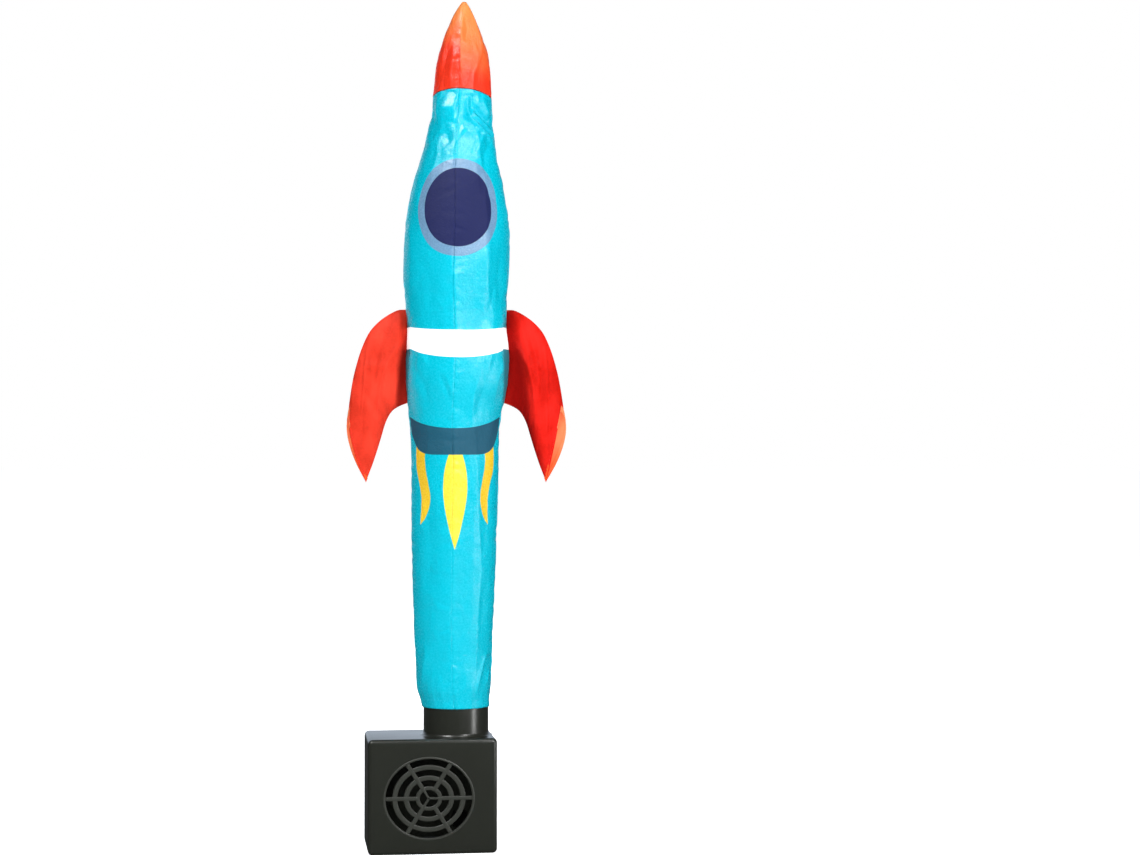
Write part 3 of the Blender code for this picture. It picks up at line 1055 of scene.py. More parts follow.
class Recipe:
    """A Geometry Nodes tree with named inputs that ends in plain mesh in one material."""

    def __init__(self, name: str, inputs: dict[str, tuple[str, object]]) -> None:
        """Opens the tree.

        Args:
            name: Its name.
            inputs: Socket type and value by input name.
        """
        self.tree = bpy.data.node_groups.new(name, "GeometryNodeTree")
        self.keys: dict[str, str] = {}
        sockets = {
            "Geometry": ("NodeSocketGeometry", None),
            **inputs,
            "Material": ("NodeSocketMaterial", None),
        }
        for label, (kind, value) in sockets.items():
            socket = self.tree.interface.new_socket(label, in_out="INPUT", socket_type=kind)
            if value is not None:
                socket.default_value = value
            self.keys[label] = socket.identifier
        self.tree.interface.new_socket(
            "Geometry", in_out="OUTPUT", socket_type="NodeSocketGeometry"
        )
        self.graph = Graph(self.tree)
        self.given = self.graph.node("NodeGroupInput").outputs

    def repeat(self, points: Socket, piece: Socket, turned: Socket, **scale: Socket) -> None:
        """Ends the tree: the piece at each point, made real, in its material.

        Args:
            points: Where it stands.
            piece: What is repeated.
            turned: How it is turned there.
            scale: Its Scale, where it has one.
        """
        inputs = {"Points": points, "Instance": piece, "Rotation": turned, **scale}
        row = self.graph.add("GeometryNodeInstanceOnPoints", inputs)
        real = self.graph.add("GeometryNodeRealizeInstances", {0: row})
        inputs = {"Geometry": real, "Material": self.given["Material"]}
        dressed = self.graph.add("GeometryNodeSetMaterial", inputs)
        self.graph.node("NodeGroupOutput", {0: dressed})

    def run(self, host: Piece, values: dict[str, object]) -> Piece:
        """Runs the tree on a host.

        Args:
            host: The object whose mesh the tree starts from.
            values: Values for the named inputs.

        Returns:
            The same object, with the result as plain mesh.
        """
        modifier = host.modifiers.new(self.tree.name, "NODES")
        modifier.node_group = self.tree
        for label, value in values.items():
            modifier[self.keys[label]] = value
        return settle(host)


def path_object(name: str, run: Array) -> Piece:
    """Makes an object of one bare line through points in metres."""
    edges = [(i, i + 1) for i in range(len(run) - 1)]
    return mesh_object(name, run, [], edges)


@dataclass
class Stitching:
    """A row of machine stitches along a line on the cloth."""

    pitch: float = 2.1 * MM
    length: float = 1.7 * MM
    width: float = 0.32 * MM
    height: float = 0.2 * MM

    def recipe(self) -> Recipe:
        """The tree: one small rounded stitch on each step of the line.

        Returns:
            The finished tree.
        """
        made = Recipe(
            "row_of_stitches",
            {
                "Pitch": ("NodeSocketFloat", self.pitch),
                "Stitch": ("NodeSocketVector", (self.length, self.width, self.height)),
            },
        )
        graph, given = made.graph, made.given
        line = graph.add("GeometryNodeMeshToCurve", {"Mesh": given["Geometry"]})
        inputs = {"Curve": line, "Length": given["Pitch"]}
        steps = graph.add("GeometryNodeResampleCurve", inputs, mode="LENGTH")
        bead = graph.add("GeometryNodeMeshUVSphere", {"Segments": 6, "Rings": 4, "Radius": 0.5})
        bead = graph.add("GeometryNodeSetShadeSmooth", {"Geometry": bead})
        along = graph.add("GeometryNodeInputTangent")
        turned = graph.add("FunctionNodeAlignRotationToVector", {"Vector": along}, axis="X")
        made.repeat(steps, bead, turned, Scale=given["Stitch"])
        return made

    def sew(self, name: str, line: Array, thread: Material, slot: str) -> Piece:
        """Sews along a line.

        Args:
            name: Name of the piece.
            line: The points of the line.
            thread: The thread's finish.
            slot: The record's material slot of the cloth.

        Returns:
            The stitches as one piece.
        """
        made = self.recipe().run(path_object(name, line), {"Material": thread})
        return show(made, slot)


@dataclass
class Screws:
    """Cross-head screws with domed heads."""

    radius: float = 1.9 * MM
    rise: float = 0.75 * MM
    slot_width: float = 0.55 * MM
    slot_reach: float = 1.25
    seed: int = 5

    def recipe(self) -> Recipe:
        """The tree: one head on each point, its cross turned at random.

        Returns:
            The finished tree.
        """
        made = Recipe(
            "cross_head_screws",
            {
                "Radius": ("NodeSocketFloat", self.radius),
                "Rise": ("NodeSocketFloat", self.rise),
                "Slot Width": ("NodeSocketFloat", self.slot_width),
                "Seed": ("NodeSocketInt", self.seed),
            },
        )
        graph, given = made.graph, made.given
        radius, rise, narrow = given["Radius"], given["Rise"], given["Slot Width"]
        head = graph.add("GeometryNodeMeshUVSphere", {"Segments": 20, "Rings": 10, "Radius": 1.0})
        size = graph.add("ShaderNodeCombineXYZ", {0: radius, 1: radius, 2: rise})
        head = graph.add("GeometryNodeTransform", {"Geometry": head, "Scale": size})
        reach = graph.math("MULTIPLY", radius, self.slot_reach)
        top = graph.add("ShaderNodeCombineXYZ", {2: rise})
        for wide, deep in ((reach, narrow), (narrow, reach)):
            size = graph.add("ShaderNodeCombineXYZ", {0: wide, 1: deep, 2: rise})
            bar = graph.add("GeometryNodeMeshCube", {"Size": size})
            bar = graph.add("GeometryNodeTransform", {"Geometry": bar, "Translation": top})
            inputs = {"Mesh 1": head, "Mesh 2": bar}
            head = graph.add("GeometryNodeMeshBoolean", inputs, operation="DIFFERENCE")
        inputs = {2: 0.0, 3: math.pi / 2, "Seed": given["Seed"]}
        turn = graph.node("FunctionNodeRandomValue", inputs, data_type="FLOAT").outputs[1]
        inputs = {"Axis": (0.0, 0.0, 1.0), "Angle": turn}
        spun = graph.add("FunctionNodeAxisAngleToRotation", inputs)
        inputs = {"Rotation": spun, "Rotate By": (-math.pi / 2, 0.0, 0.0)}
        facing = graph.add("FunctionNodeRotateRotation", inputs, rotation_space="GLOBAL")
        made.repeat(given["Geometry"], head, facing)
        return made

    def drive(self, name: str, places: list[Vector], steel: Material) -> Piece:
        """Puts a screw, facing backwards, at each place.

        Args:
            name: Name of the piece.
            places: The middles of the heads.
            steel: Their finish.

        Returns:
            The screws as one piece.
        """
        made = self.recipe().run(mesh_object(name, places, []), {"Material": steel})
        made.data.set_sharp_from_angle(angle=math.radians(40))
        return show(made, "housing_plastic")


def spokes_recipe() -> Recipe:
    """The tree that repeats one bar, given lying along +X, round the front-to-back axis.

    Returns:
        The finished tree.
    """
    made = Recipe(
        "bars_round_a_hub",
        {"Count": ("NodeSocketInt", 6), "Centre": ("NodeSocketVector", (0.0, 0.0, 0.0))},
    )
    graph, given = made.graph, made.given
    inputs = {"Count": given["Count"], "Position": given["Centre"]}
    places = graph.add("GeometryNodePoints", inputs)
    step = graph.math("DIVIDE", -math.tau, given["Count"])
    angle = graph.math("MULTIPLY", graph.add("GeometryNodeInputIndex"), step)
    inputs = {"Axis": (0.0, 1.0, 0.0), "Angle": angle}
    turned = graph.add("FunctionNodeAxisAngleToRotation", inputs)
    made.repeat(places, given["Geometry"], turned)
    return made


# The inflated tube


class Section(NamedTuple):
    """One section of the tube in millimetres: its height, sideways lean and half width."""

    height: float
    middle: float
    half_width: float


class Crease(NamedTuple):
    """A crease in the cloth, along a path of places.

    Each place is an angle in degrees from the front of the tube and a height. Heights,
    width and depth are in millimetres. A positive depth goes in, and a negative one
    stands out.
    """

    path: tuple[tuple[float, float], ...]
    width: float
    depth: float


class Facet(NamedTuple):
    """A stretch of cloth between two lines down the tube, pulled nearly flat.

    Each line is a run of (height in millimetres, angle in degrees from the front), and a
    flatness of 1 makes it a plane.
    """

    start: tuple[tuple[float, float], ...]
    end: tuple[tuple[float, float], ...]
    flatness: float


FRONT_RIDGE = ((75, -3), (330, -3), (400, -8), (450, -8))
RIGHT_BACK_RIDGE = ((75, 132), (250, 124), (450, 134))
LEFT_BACK_RIDGE = ((75, -130), (200, -136), (450, -122))
RIGHT_RIDGE = (
    (75, 28), (90, 33), (111, 37), (132, 41), (153, 39), (175, 36), (205, 30), (225, 24),
    (234, 23), (240, 29), (248, 38), (262, 42), (280, 46), (290, 41), (300, 37.5), (330, 36),
    (350, 36), (368, 34), (380, 28), (395, 25), (408, 24), (420, 44), (430, 60), (450, 70),
)


@dataclass(frozen=True)
class TubeForm:
    """The shape that the air gives to the tube."""

    sections: tuple[Section, ...] = tuple(
        Section(*row)
        for row in (
            (74, 0, 18.5), (79, -0.5, 19.0), (84, -1, 19.5), (110, -1.2, 20.2), (142, -1.2, 21.2),
            (174, -0.9, 22.1), (208, -0.6, 22.7), (227, -0.8, 23.4), (236, -0.4, 24.7),
            (245, 0.3, 26.4), (257, 0.7, 27.1), (268, 0.8, 26.5), (277, 0.4, 25.8),
            (291, -0.1, 26.3), (302, -0.1, 27.1), (315, 0.2, 27.4), (328, 0.6, 26.9),
            (341, 0.7, 25.3), (354, 1, 22.9), (366, 1.5, 19.8), (379, 2.3, 17.3), (391, 3, 15.4),
            (401, 3.3, 14.85), (411, 3.4, 14.25), (417.5, 3.5, 13.7), (424, 3.6, 12.2),
            (430.5, 3.6, 10.2), (437, 3.7, 7.8), (443, 3.8, 5.3), (447, 4, 3.2), (450, 4.1, 1.2),
        )
    )
    creases: tuple[Crease, ...] = (
        # The sharp double fold under the nose
        Crease(
            ((12, 397), (11, 391.4), (16, 386.6), (30, 382.6), (50, 378.6), (74, 375)), 1.2, -1.8
        ),
        Crease(((22, 389), (36, 385.6), (54, 381.9), (80, 378)), 1.3, -2.0),
        Crease(((17, 387), (34, 384), (54, 380.2), (78, 376.8)), 0.8, 1.3),
        Crease(((20, 399), (21, 392), (38, 388.4), (66, 384), (90, 382)), 2.4, 2.2),
        Crease(((44, 399), (58, 391), (70, 388)), 3.4, -1.2),
        # The slack facets below it
        Crease(((-5, 386), (12, 384.4), (28, 382)), 2.2, 1.1),
        Crease(((0, 380.5), (16, 379.5), (36, 377.5)), 3.4, -1.3),
        Crease(((48, 379), (36, 373.6), (24, 366)), 2.2, -0.9),
        Crease(((66, 374), (46, 368), (38, 356)), 3.4, 1.0),
        Crease(((30, 368), (26, 356), (31, 346)), 3.0, -0.5),
        # Left of the seam
        Crease(((-56, 390), (-36, 391.5), (-10, 391)), 5.6, -3.2),
        Crease(((-44, 401), (-30, 400), (-12, 399)), 2.0, 0.5),
        Crease(((-80, 394), (-62, 386), (-52, 374)), 3.0, 0.9),
        Crease(((-60, 398), (-56, 388), (-60, 378)), 2.0, -0.7),
        Crease(((-32, 380), (-16, 372)), 3.2, 0.8),
        Crease(((-44, 376), (-36, 366), (-40, 352)), 2.0, -0.5),
        # Upper body
        Crease(((30, 352), (44, 345), (62, 340)), 1.5, 0.4),
        Crease(((34, 322), (36, 306), (33, 292), (36, 280)), 3.6, -0.7),
        Crease(((62, 318), (56, 302), (66, 286)), 5.0, 0.9),
        Crease(((50, 297), (44, 286), (48, 276)), 2.0, 0.45),
        Crease(((-44, 312), (-30, 298), (-32, 284)), 4.0, 0.5),
        Crease(((-66, 330), (-58, 312), (-62, 292)), 3.0, -0.4),
        Crease(((-24, 292), (-10, 280)), 2.0, -0.35),
        # Between the fins
        Crease(((32, 262), (27, 250), (22, 240), (24, 228)), 2.2, -0.7),
        Crease(((48, 262), (40, 250), (30, 238), (31, 228)), 3.0, 0.8),
        Crease(((-20, 250), (-12, 243), (-4, 235)), 1.2, 0.5),
        Crease(((-14, 252), (-7, 244), (-3, 238)), 1.0, -0.4),
        Crease(((62, 258), (52, 246), (56, 236)), 2.4, -0.5),
        Crease(((-58, 256), (-42, 246), (-34, 234)), 2.6, 0.5),
        Crease(((-46, 262), (-34, 254)), 1.8, -0.35),
        # Lower body
        Crease(((29, 212), (27, 180), (30, 140), (27, 104)), 5.0, -0.6),
        Crease(((46, 200), (50, 170), (44, 150)), 4.5, 0.5),
        Crease(((52, 140), (46, 118)), 3.4, 0.45),
        Crease(((-40, 186), (-34, 160), (-42, 136)), 5.0, 0.45),
        Crease(((-22, 130), (-30, 112)), 3.0, -0.3),
        # Gathers at the neck, standing out because the outlet fills it
        Crease(((60, 104), (44, 92), (36, 82)), 1.4, -0.7),
        Crease(((72, 96), (58, 86)), 1.3, -0.5),
        Crease(((22, 96), (16, 84)), 2.0, -0.35),
        Crease(((-44, 108), (-58, 88)), 2.2, -0.5),
        Crease(((-22, 92), (-30, 82)), 1.8, -0.4),
        # The nose
        Crease(((-70, 402), (-52, 410), (-44, 420), (-18, 431)), 2.4, 0.6),
        Crease(((-24, 401), (-27, 410), (-22, 419), (-30, 428)), 2.0, -0.6),
        Crease(((-14, 402), (-15, 412), (-12, 420)), 1.6, 0.4),
        Crease(((22, 402), (24, 410), (40, 420), (36, 428)), 2.0, -0.45),
        Crease(((34, 402), (38, 412), (54, 420)), 2.2, 0.35),
        Crease(((4, 441), (14, 434), (6, 428)), 1.6, 0.4),
        Crease(((-4, 446), (-6, 436), (-2, 426)), 1.1, -0.5),
        # Behind
        Crease(((150, 396), (130, 384), (116, 370)), 2.6, 1.0),
        Crease(((162, 392), (176, 378), (170, 360)), 3.4, -0.7),
        Crease(((-150, 380), (-130, 374), (-112, 368)), 2.0, 0.8),
        Crease(((-160, 302), (-140, 296), (-128, 284)), 4.0, 0.9),
        Crease(((150, 330), (140, 310), (146, 290)), 3.6, -0.6),
        Crease(((140, 262), (126, 256), (112, 246)), 3.2, 0.8),
        Crease(((-120, 250), (-104, 238)), 2.4, 0.6),
        Crease(((-150, 240), (-146, 200), (-152, 160)), 5.0, -0.6),
        Crease(((150, 210), (144, 170), (152, 130)), 5.0, -0.6),
        Crease(((160, 106), (146, 84)), 2.2, -0.6),
        Crease(((-140, 102), (-150, 84)), 2.0, -0.5),
    )
    facets: tuple[Facet, ...] = (
        Facet(FRONT_RIDGE, RIGHT_RIDGE, 0.85),
        Facet(RIGHT_RIDGE, ((75, 82), (450, 82)), 0.3),
        Facet(((75, -46), (300, -40), (450, -60)), FRONT_RIDGE, 0.3),
        Facet(((75, 84), (450, 84)), RIGHT_BACK_RIDGE, 0.35),
        Facet(RIGHT_BACK_RIDGE, ((75, 180), (450, 180)), 0.4),
        Facet(LEFT_BACK_RIDGE, ((75, -84), (450, -84)), 0.35),
        Facet(((75, -180), (450, -180)), LEFT_BACK_RIDGE, 0.4),
    )
    facet_fade: tuple[float, float] = (76.0 * MM, 100.0 * MM)
    neck_hem: float = 75.0 * MM
    nose_seam: float = 400.0 * MM
    nose_seam_bow: float = 1.5 * MM
    nose_seam_lean: float = -0.5 * MM
    nose_seam_drop: float = 1.6 * MM
    nose_seam_reach: float = 14.0 * MM
    depth_share: float = 0.97
    round_up_to: float = 90.0 * MM
    flatter_from: float = 120.0 * MM
    turn: float = math.radians(-4.8)
    fin_foot: float = 236.0 * MM
    fin_top: float = 285.6 * MM
    front_seam_low: float = math.radians(-2.8)
    front_seam_nose: float = math.radians(-8.0)
    front_seam_turns: tuple[float, float] = (330.0 * MM, 400.0 * MM)
    side_seam: float = math.radians(80.0)
    side_seam_bow_left: float = math.radians(14.0)
    side_seam_bow_right: float = math.radians(20.0)
    ridge: float = 1.25 * MM
    ridge_reach: float = math.radians(36.0)
    ridge_fade: float = 45.0 * MM
    widest: float = 27.4 * MM
    seam_groove: float = 0.2 * MM
    seam_groove_width: float = 0.7 * MM
    pucker_depth: float = 0.46 * MM
    pucker_pitch: float = 5.2 * MM
    pucker_length: float = 5.0 * MM
    pucker_width: float = 1.25 * MM
    undulation: float = 0.42 * MM
    grip: float = 0.75 * MM
    slack_zones: tuple[tuple[float, float, int, float], ...] = (
        (356, 400, 110, 0.22),
        (285, 356, 120, 0.15),
        (228, 300, 130, 0.18),
        (90, 235, 190, 0.15),
        (400, 444, 50, 0.09),
        (78, 100, 40, 0.12),
    )
    seed: int = 7

    def column(self, name: str) -> Array:
        """One column of the sections' table, in metres."""
        return np.array([getattr(section, name) for section in self.sections]) * MM

    def middle(self, height: Array) -> Array:
        """Sideways place of the tube's middle."""
        return through_points(self.column("height"), self.column("middle"), height)

    def radius(self, height: Array) -> Array:
        """Half width of the tube without seams and creases, drawn in at the neck."""
        plain = through_points(self.column("height"), self.column("half_width"), height)
        return plain - self.grip * (1 - smooth_step(78 * MM, 88 * MM, height))

    def fin_bow(self, height: Array) -> Array:
        """How far the fin roots pull the side seams forward, from 0 to 1."""
        share = (np.asarray(height) - self.fin_foot) / (self.fin_top - self.fin_foot)
        return np.sin(math.pi * np.clip(share, 0, 1)) ** 0.8

    def front_seam(self, height: Array) -> Array:
        """Angle of the seam down the front."""
        turned = smooth_step(*self.front_seam_turns, height)
        return self.front_seam_low + (self.front_seam_nose - self.front_seam_low) * turned

    def left_seam(self, height: Array) -> Array:
        """Angle of the seam down the left."""
        return -(self.side_seam - self.side_seam_bow_left * self.fin_bow(height))

    def right_seam(self, height: Array) -> Array:
        """Angle of the seam down the right."""
        return self.side_seam - self.side_seam_bow_right * self.fin_bow(height)

    def back_seam(self, height: Array) -> Array:
        """Angle of the seam down the back."""
        return np.full_like(np.asarray(height, float), math.pi)

    def seams(self) -> tuple[Callable[[Array], Array], ...]:
        """The four long seams."""
        return (self.front_seam, self.left_seam, self.right_seam, self.back_seam)

    def seam_relief(self, angle: Array, height: Array) -> Array:
        """The ridge, groove and puckers along the four long seams, outwards positive.

        Args:
            angle: Angle from the front of the tube.
            height: Height above the table.

        Returns:
            The relief in metres.
        """
        relief = np.zeros_like(angle)
        radius = self.radius(height)
        fade = smooth_step(self.neck_hem, self.neck_hem + self.ridge_fade, height)
        nearest = np.full_like(angle, math.pi)
        for number, seam in enumerate(self.seams()):
            off = wrapped(angle - seam(height))
            nearest = np.minimum(nearest, np.abs(off))
            away = off * radius
            relief -= self.seam_groove * np.exp(-((away / self.seam_groove_width) ** 2))
            relief += self.puckers(number, away, height)
        ridge = np.maximum(0.0, 1.0 - nearest / self.ridge_reach)
        relief += self.ridge * fade * (radius / self.widest) * ridge
        return relief

    def puckers(self, number: int, away: Array, height: Array) -> Array:
        """Short dents that the stitching draws across a seam.

        Args:
            number: Number of the seam.
            away: Distance from it.
            height: Height above the table.

        Returns:
            The relief in metres.
        """
        random = np.random.default_rng(self.seed + number)
        relief = np.zeros_like(away)
        near = np.abs(away) < 3 * self.pucker_length
        place = self.neck_hem + 6 * MM
        top = self.sections[-1].height * MM - 8 * MM
        while place < top:
            for hand in (-1, 1):
                depth = self.pucker_depth * random.uniform(-0.35, 1.0)
                length = self.pucker_length * random.uniform(0.5, 1.3)
                width = self.pucker_width * random.uniform(0.8, 1.7)
                lean = random.uniform(-0.5, 0.5)
                centre = place + random.uniform(-1.5, 1.5) * MM
                here = near & (np.abs(height - centre) < 5 * width + length)
                if not here.any():
                    continue
                side = np.where(away[here] * hand > 0, 1.0, 0.25)
                along = (height[here] - centre - lean * np.abs(away[here])) / width
                reach = np.abs(away[here]) / length
                relief[here] -= depth * side * np.exp(-(along**2) - reach**2)
            place += self.pucker_pitch * random.uniform(0.6, 1.5)
        return relief

    def facet_relief(self, angle: Array, height: Array) -> Array:
        """How far the flat facets of the cloth lie inside the round tube.

        Args:
            angle: Angle from the front of the tube.
            height: Height above the table.

        Returns:
            The relief in metres.
        """
        radius = self.radius(height)
        relief = np.zeros_like(angle)
        for facet in self.facets:
            start, end = (
                np.radians(through_points(*np.array(line, float).T, height / MM))
                for line in (facet.start, facet.end)
            )
            waver = math.radians(2.4) * np.sin(height * 95 + facet.start[0][1] * 0.12)
            start, end = start + waver, end + waver
            half = (end - start) / 2
            off = wrapped(angle - (start + end) / 2)
            inside = np.abs(off) < half
            chord = np.cos(half) / np.cos(np.where(inside, off, half)) - 1.0
            relief += facet.flatness * radius * chord * inside
        return relief * smooth_step(*self.facet_fade, height)

    def crease_relief(self, angle: Array, height: Array) -> Array:
        """The named creases, outwards positive.

        Args:
            angle: Angle from the front of the tube.
            height: Height above the table.

        Returns:
            The relief in metres.
        """
        radius = self.radius(height)
        relief = np.zeros_like(angle)
        for crease in self.creases:
            nearest = np.full_like(angle, 9.0)
            strength = np.zeros_like(angle)
            pieces = list(zip(crease.path, crease.path[1:]))
            for number, ((angle_a, height_a), (angle_b, height_b)) in enumerate(pieces):
                start = math.radians(angle_a)
                across = wrapped(angle - start) * radius
                up = height - height_a * MM
                run = wrapped(math.radians(angle_b) - start) * radius
                rise = (height_b - height_a) * MM
                share = np.clip((across * run + up * rise) / (run**2 + rise**2), 0.0, 1.0)
                away = np.hypot(across - run * share, up - rise * share) / (crease.width * MM)
                along = (number + share) / len(pieces)
                ends = np.clip(np.sin(math.pi * along), 0.0, 1.0) ** 0.45
                closer = away < nearest
                nearest = np.where(closer, away, nearest)
                strength = np.where(closer, ends, strength)
            relief -= crease.depth * MM * strength * np.exp(-(nearest**1.5))
        return relief

    def crumple(self, angle: Array, height: Array) -> Array:
        """Crisp little creases, scattered where the cloth is slack, outwards positive.

        Args:
            angle: Angle from the front of the tube.
            height: Height above the table.

        Returns:
            The relief in metres.
        """
        random = np.random.default_rng(self.seed + 40)
        radius = self.radius(height)
        relief = np.zeros_like(angle)
        places = []
        for low, high, count, strength in self.slack_zones:
            for _ in range(count):
                places.append((random.uniform(low, high) * MM, strength))
        for centre, strength in places:
            turned = random.uniform(-math.pi, math.pi)
            lean = random.normal(0.0, 0.75)
            length = random.uniform(3.0, 12.0) * MM
            width = random.uniform(0.7, 2.0) * MM
            depth = strength * MM * random.uniform(-1.0, 1.0)
            across = wrapped(angle - turned) * radius
            up = height - centre
            here = (np.abs(across) < 2.2 * length) & (np.abs(up) < 2.2 * length)
            if not here.any():
                continue
            along = across[here] * math.sin(lean) + up[here] * math.cos(lean)
            away = across[here] * math.cos(lean) - up[here] * math.sin(lean)
            away = away + along**2 / length * random.uniform(-0.4, 0.4)
            shape = np.exp(-np.abs(away / width) ** 1.3 - (along / length) ** 2)
            relief[here] += depth * shape
        return relief

    def soft_relief(self, angle: Array, height: Array) -> Array:
        """Slow waves in the cloth between its seams, and gathers at the neck.

        Args:
            angle: Angle from the front of the tube.
            height: Height above the table.

        Returns:
            The relief in metres.
        """
        radius = self.radius(height)
        relief = np.zeros_like(angle)
        flat = relief.ravel()
        places = zip(angle.ravel(), height.ravel(), radius.ravel())
        for index, (turned, up, around) in enumerate(places):
            spot = Vector((math.sin(turned) * around, -math.cos(turned) * around, up * 0.75))
            wide = noise.noise(spot * 42.0)
            fine = abs(noise.noise(spot * 95.0 + Vector((3.1, 7.7, 1.3)))) - 0.2
            small = abs(noise.noise(spot * 210.0 + Vector((8.1, 2.7, 5.3)))) - 0.2
            flat[index] = self.undulation * (wide - 0.62 * fine - 0.22 * small)
        calm = smooth_step(self.neck_hem, self.neck_hem + 20 * MM, height)
        calm = calm * (1 - 0.6 * smooth_step(430 * MM, 450 * MM, height))
        gathers = np.sin(angle * 13 + 2.2 * np.sin(angle * 3 + 0.7)) + 0.4 * np.sin(angle * 29)
        low = np.exp(-(((height - self.neck_hem - 7 * MM) / (8 * MM)) ** 2))
        return flat.reshape(angle.shape) * calm + 0.2 * MM * low * np.maximum(gathers, -0.3)

    def surface(self, angle: Array, height: Array, inset: Array | float = 0.0) -> Array:
        """Points on the inflated cloth, turned as the tube sits on the blower.

        Args:
            angle: Angle from the front of the tube, positive to the right.
            height: Height above the table.
            inset: How far in from the outside.

        Returns:
            The points, with x, y and z along the last axis.
        """
        angle, height = np.broadcast_arrays(np.asarray(angle, float), np.asarray(height, float))
        near_seam = np.exp(-(((height - self.nose_seam) / self.nose_seam_reach) ** 2))
        height = height + near_seam * (
            self.nose_seam_bow * np.cos(angle)
            + self.nose_seam_lean * np.sin(angle)
            - self.nose_seam_drop * np.abs(np.sin(angle)) ** 3
        )
        radius = self.radius(height)
        relief = self.seam_relief(angle, height) + self.crease_relief(angle, height)
        relief += self.facet_relief(angle, height)
        relief += self.soft_relief(angle, height) + self.crumple(angle, height)
        slim = np.minimum(1.0, radius / (9 * MM))
        out = np.maximum(radius + relief * slim - inset, 0.15 * MM)
        flat = 1.0 - (1.0 - self.depth_share) * smooth_step(
            self.round_up_to, self.flatter_from, height
        )
        x = self.middle(height) + out * np.sin(angle)
        y = -flat * out * np.cos(angle)
        return turned_points(np.stack((x, y, height), axis=-1), self.turn)


def turned_points(points: Array, angle: float) -> Array:
    """Turns points about the vertical through the origin.

    Args:
        points: The points, with x, y and z along the last axis.
        angle: How far, in radians.

    Returns:
        The turned points.
    """
    cos, sin = math.cos(angle), math.sin(angle)
    x = points[..., 0] * cos - points[..., 1] * sin
    y = points[..., 0] * sin + points[..., 1] * cos
    return np.stack((x, y, points[..., 2]), axis=-1)


@dataclass
class ClothPanel:
    """A panel of thin cloth, from a grid of points on its outside."""

    name: str
    points: Array
    pattern: Array
    outside: Material
    inside: Material | None = None
    hem_rows: int = 0
    thickness: float = 0.22 * MM

    def build(self) -> Piece:
        """Makes the panel with its thickness and its flat pattern as a UV map.

        Returns:
            The panel.
        """
        rows, columns = self.points.shape[:2]
        numbers = np.arange(rows * columns).reshape(rows, columns)
        corners = np.stack(
            (numbers[:-1, :-1], numbers[:-1, 1:], numbers[1:, 1:], numbers[1:, :-1]), axis=-1
        ).reshape(-1, 4)
        made = mesh_object(
            self.name, self.points.reshape(-1, 3), [tuple(face) for face in corners.tolist()]
        )
        layer = made.data.uv_layers.new(name="pattern")
        flat = self.pattern.reshape(-1, 2)[corners.ravel()]
        layer.data.foreach_set("uv", flat.astype(np.float32).ravel())
        made.data.materials.append(self.outside)
        made.data.materials.append(self.inside or self.outside)
        turned_back = (rows - 1 - self.hem_rows) * (columns - 1)
        for face in made.data.polygons[turned_back:]:
            face.material_index = 1
        solid = made.modifiers.new("thickness", "SOLIDIFY")
        solid.thickness = self.thickness
        solid.offset = -1.0
        solid.use_even_offset = False
        solid.material_offset = 1
        solid.material_offset_rim = 0
        return settle(made)

    def flat_area(self) -> float:
        """Measures the panel as it is cut.

        Returns:
            The area in square metres.
        """
        grid = self.pattern
        one = grid[1:, 1:] - grid[:-1, :-1]
        other = grid[1:, :-1] - grid[:-1, 1:]
        return float(np.abs(one[..., 0] * other[..., 1] - one[..., 1] * other[..., 0]).sum() / 2)

    def cut(self) -> tuple[float, float]:
        """Measures the rectangle that the panel is cut from.

        Returns:
            Its width and length in metres.
        """
        spans = self.pattern[:, :, 0].max(axis=1) - self.pattern[:, :, 0].min(axis=1)
        rises = self.pattern[:, :, 1].max() - self.pattern[:, :, 1].min()
        return float(spans.max()), float(rises)


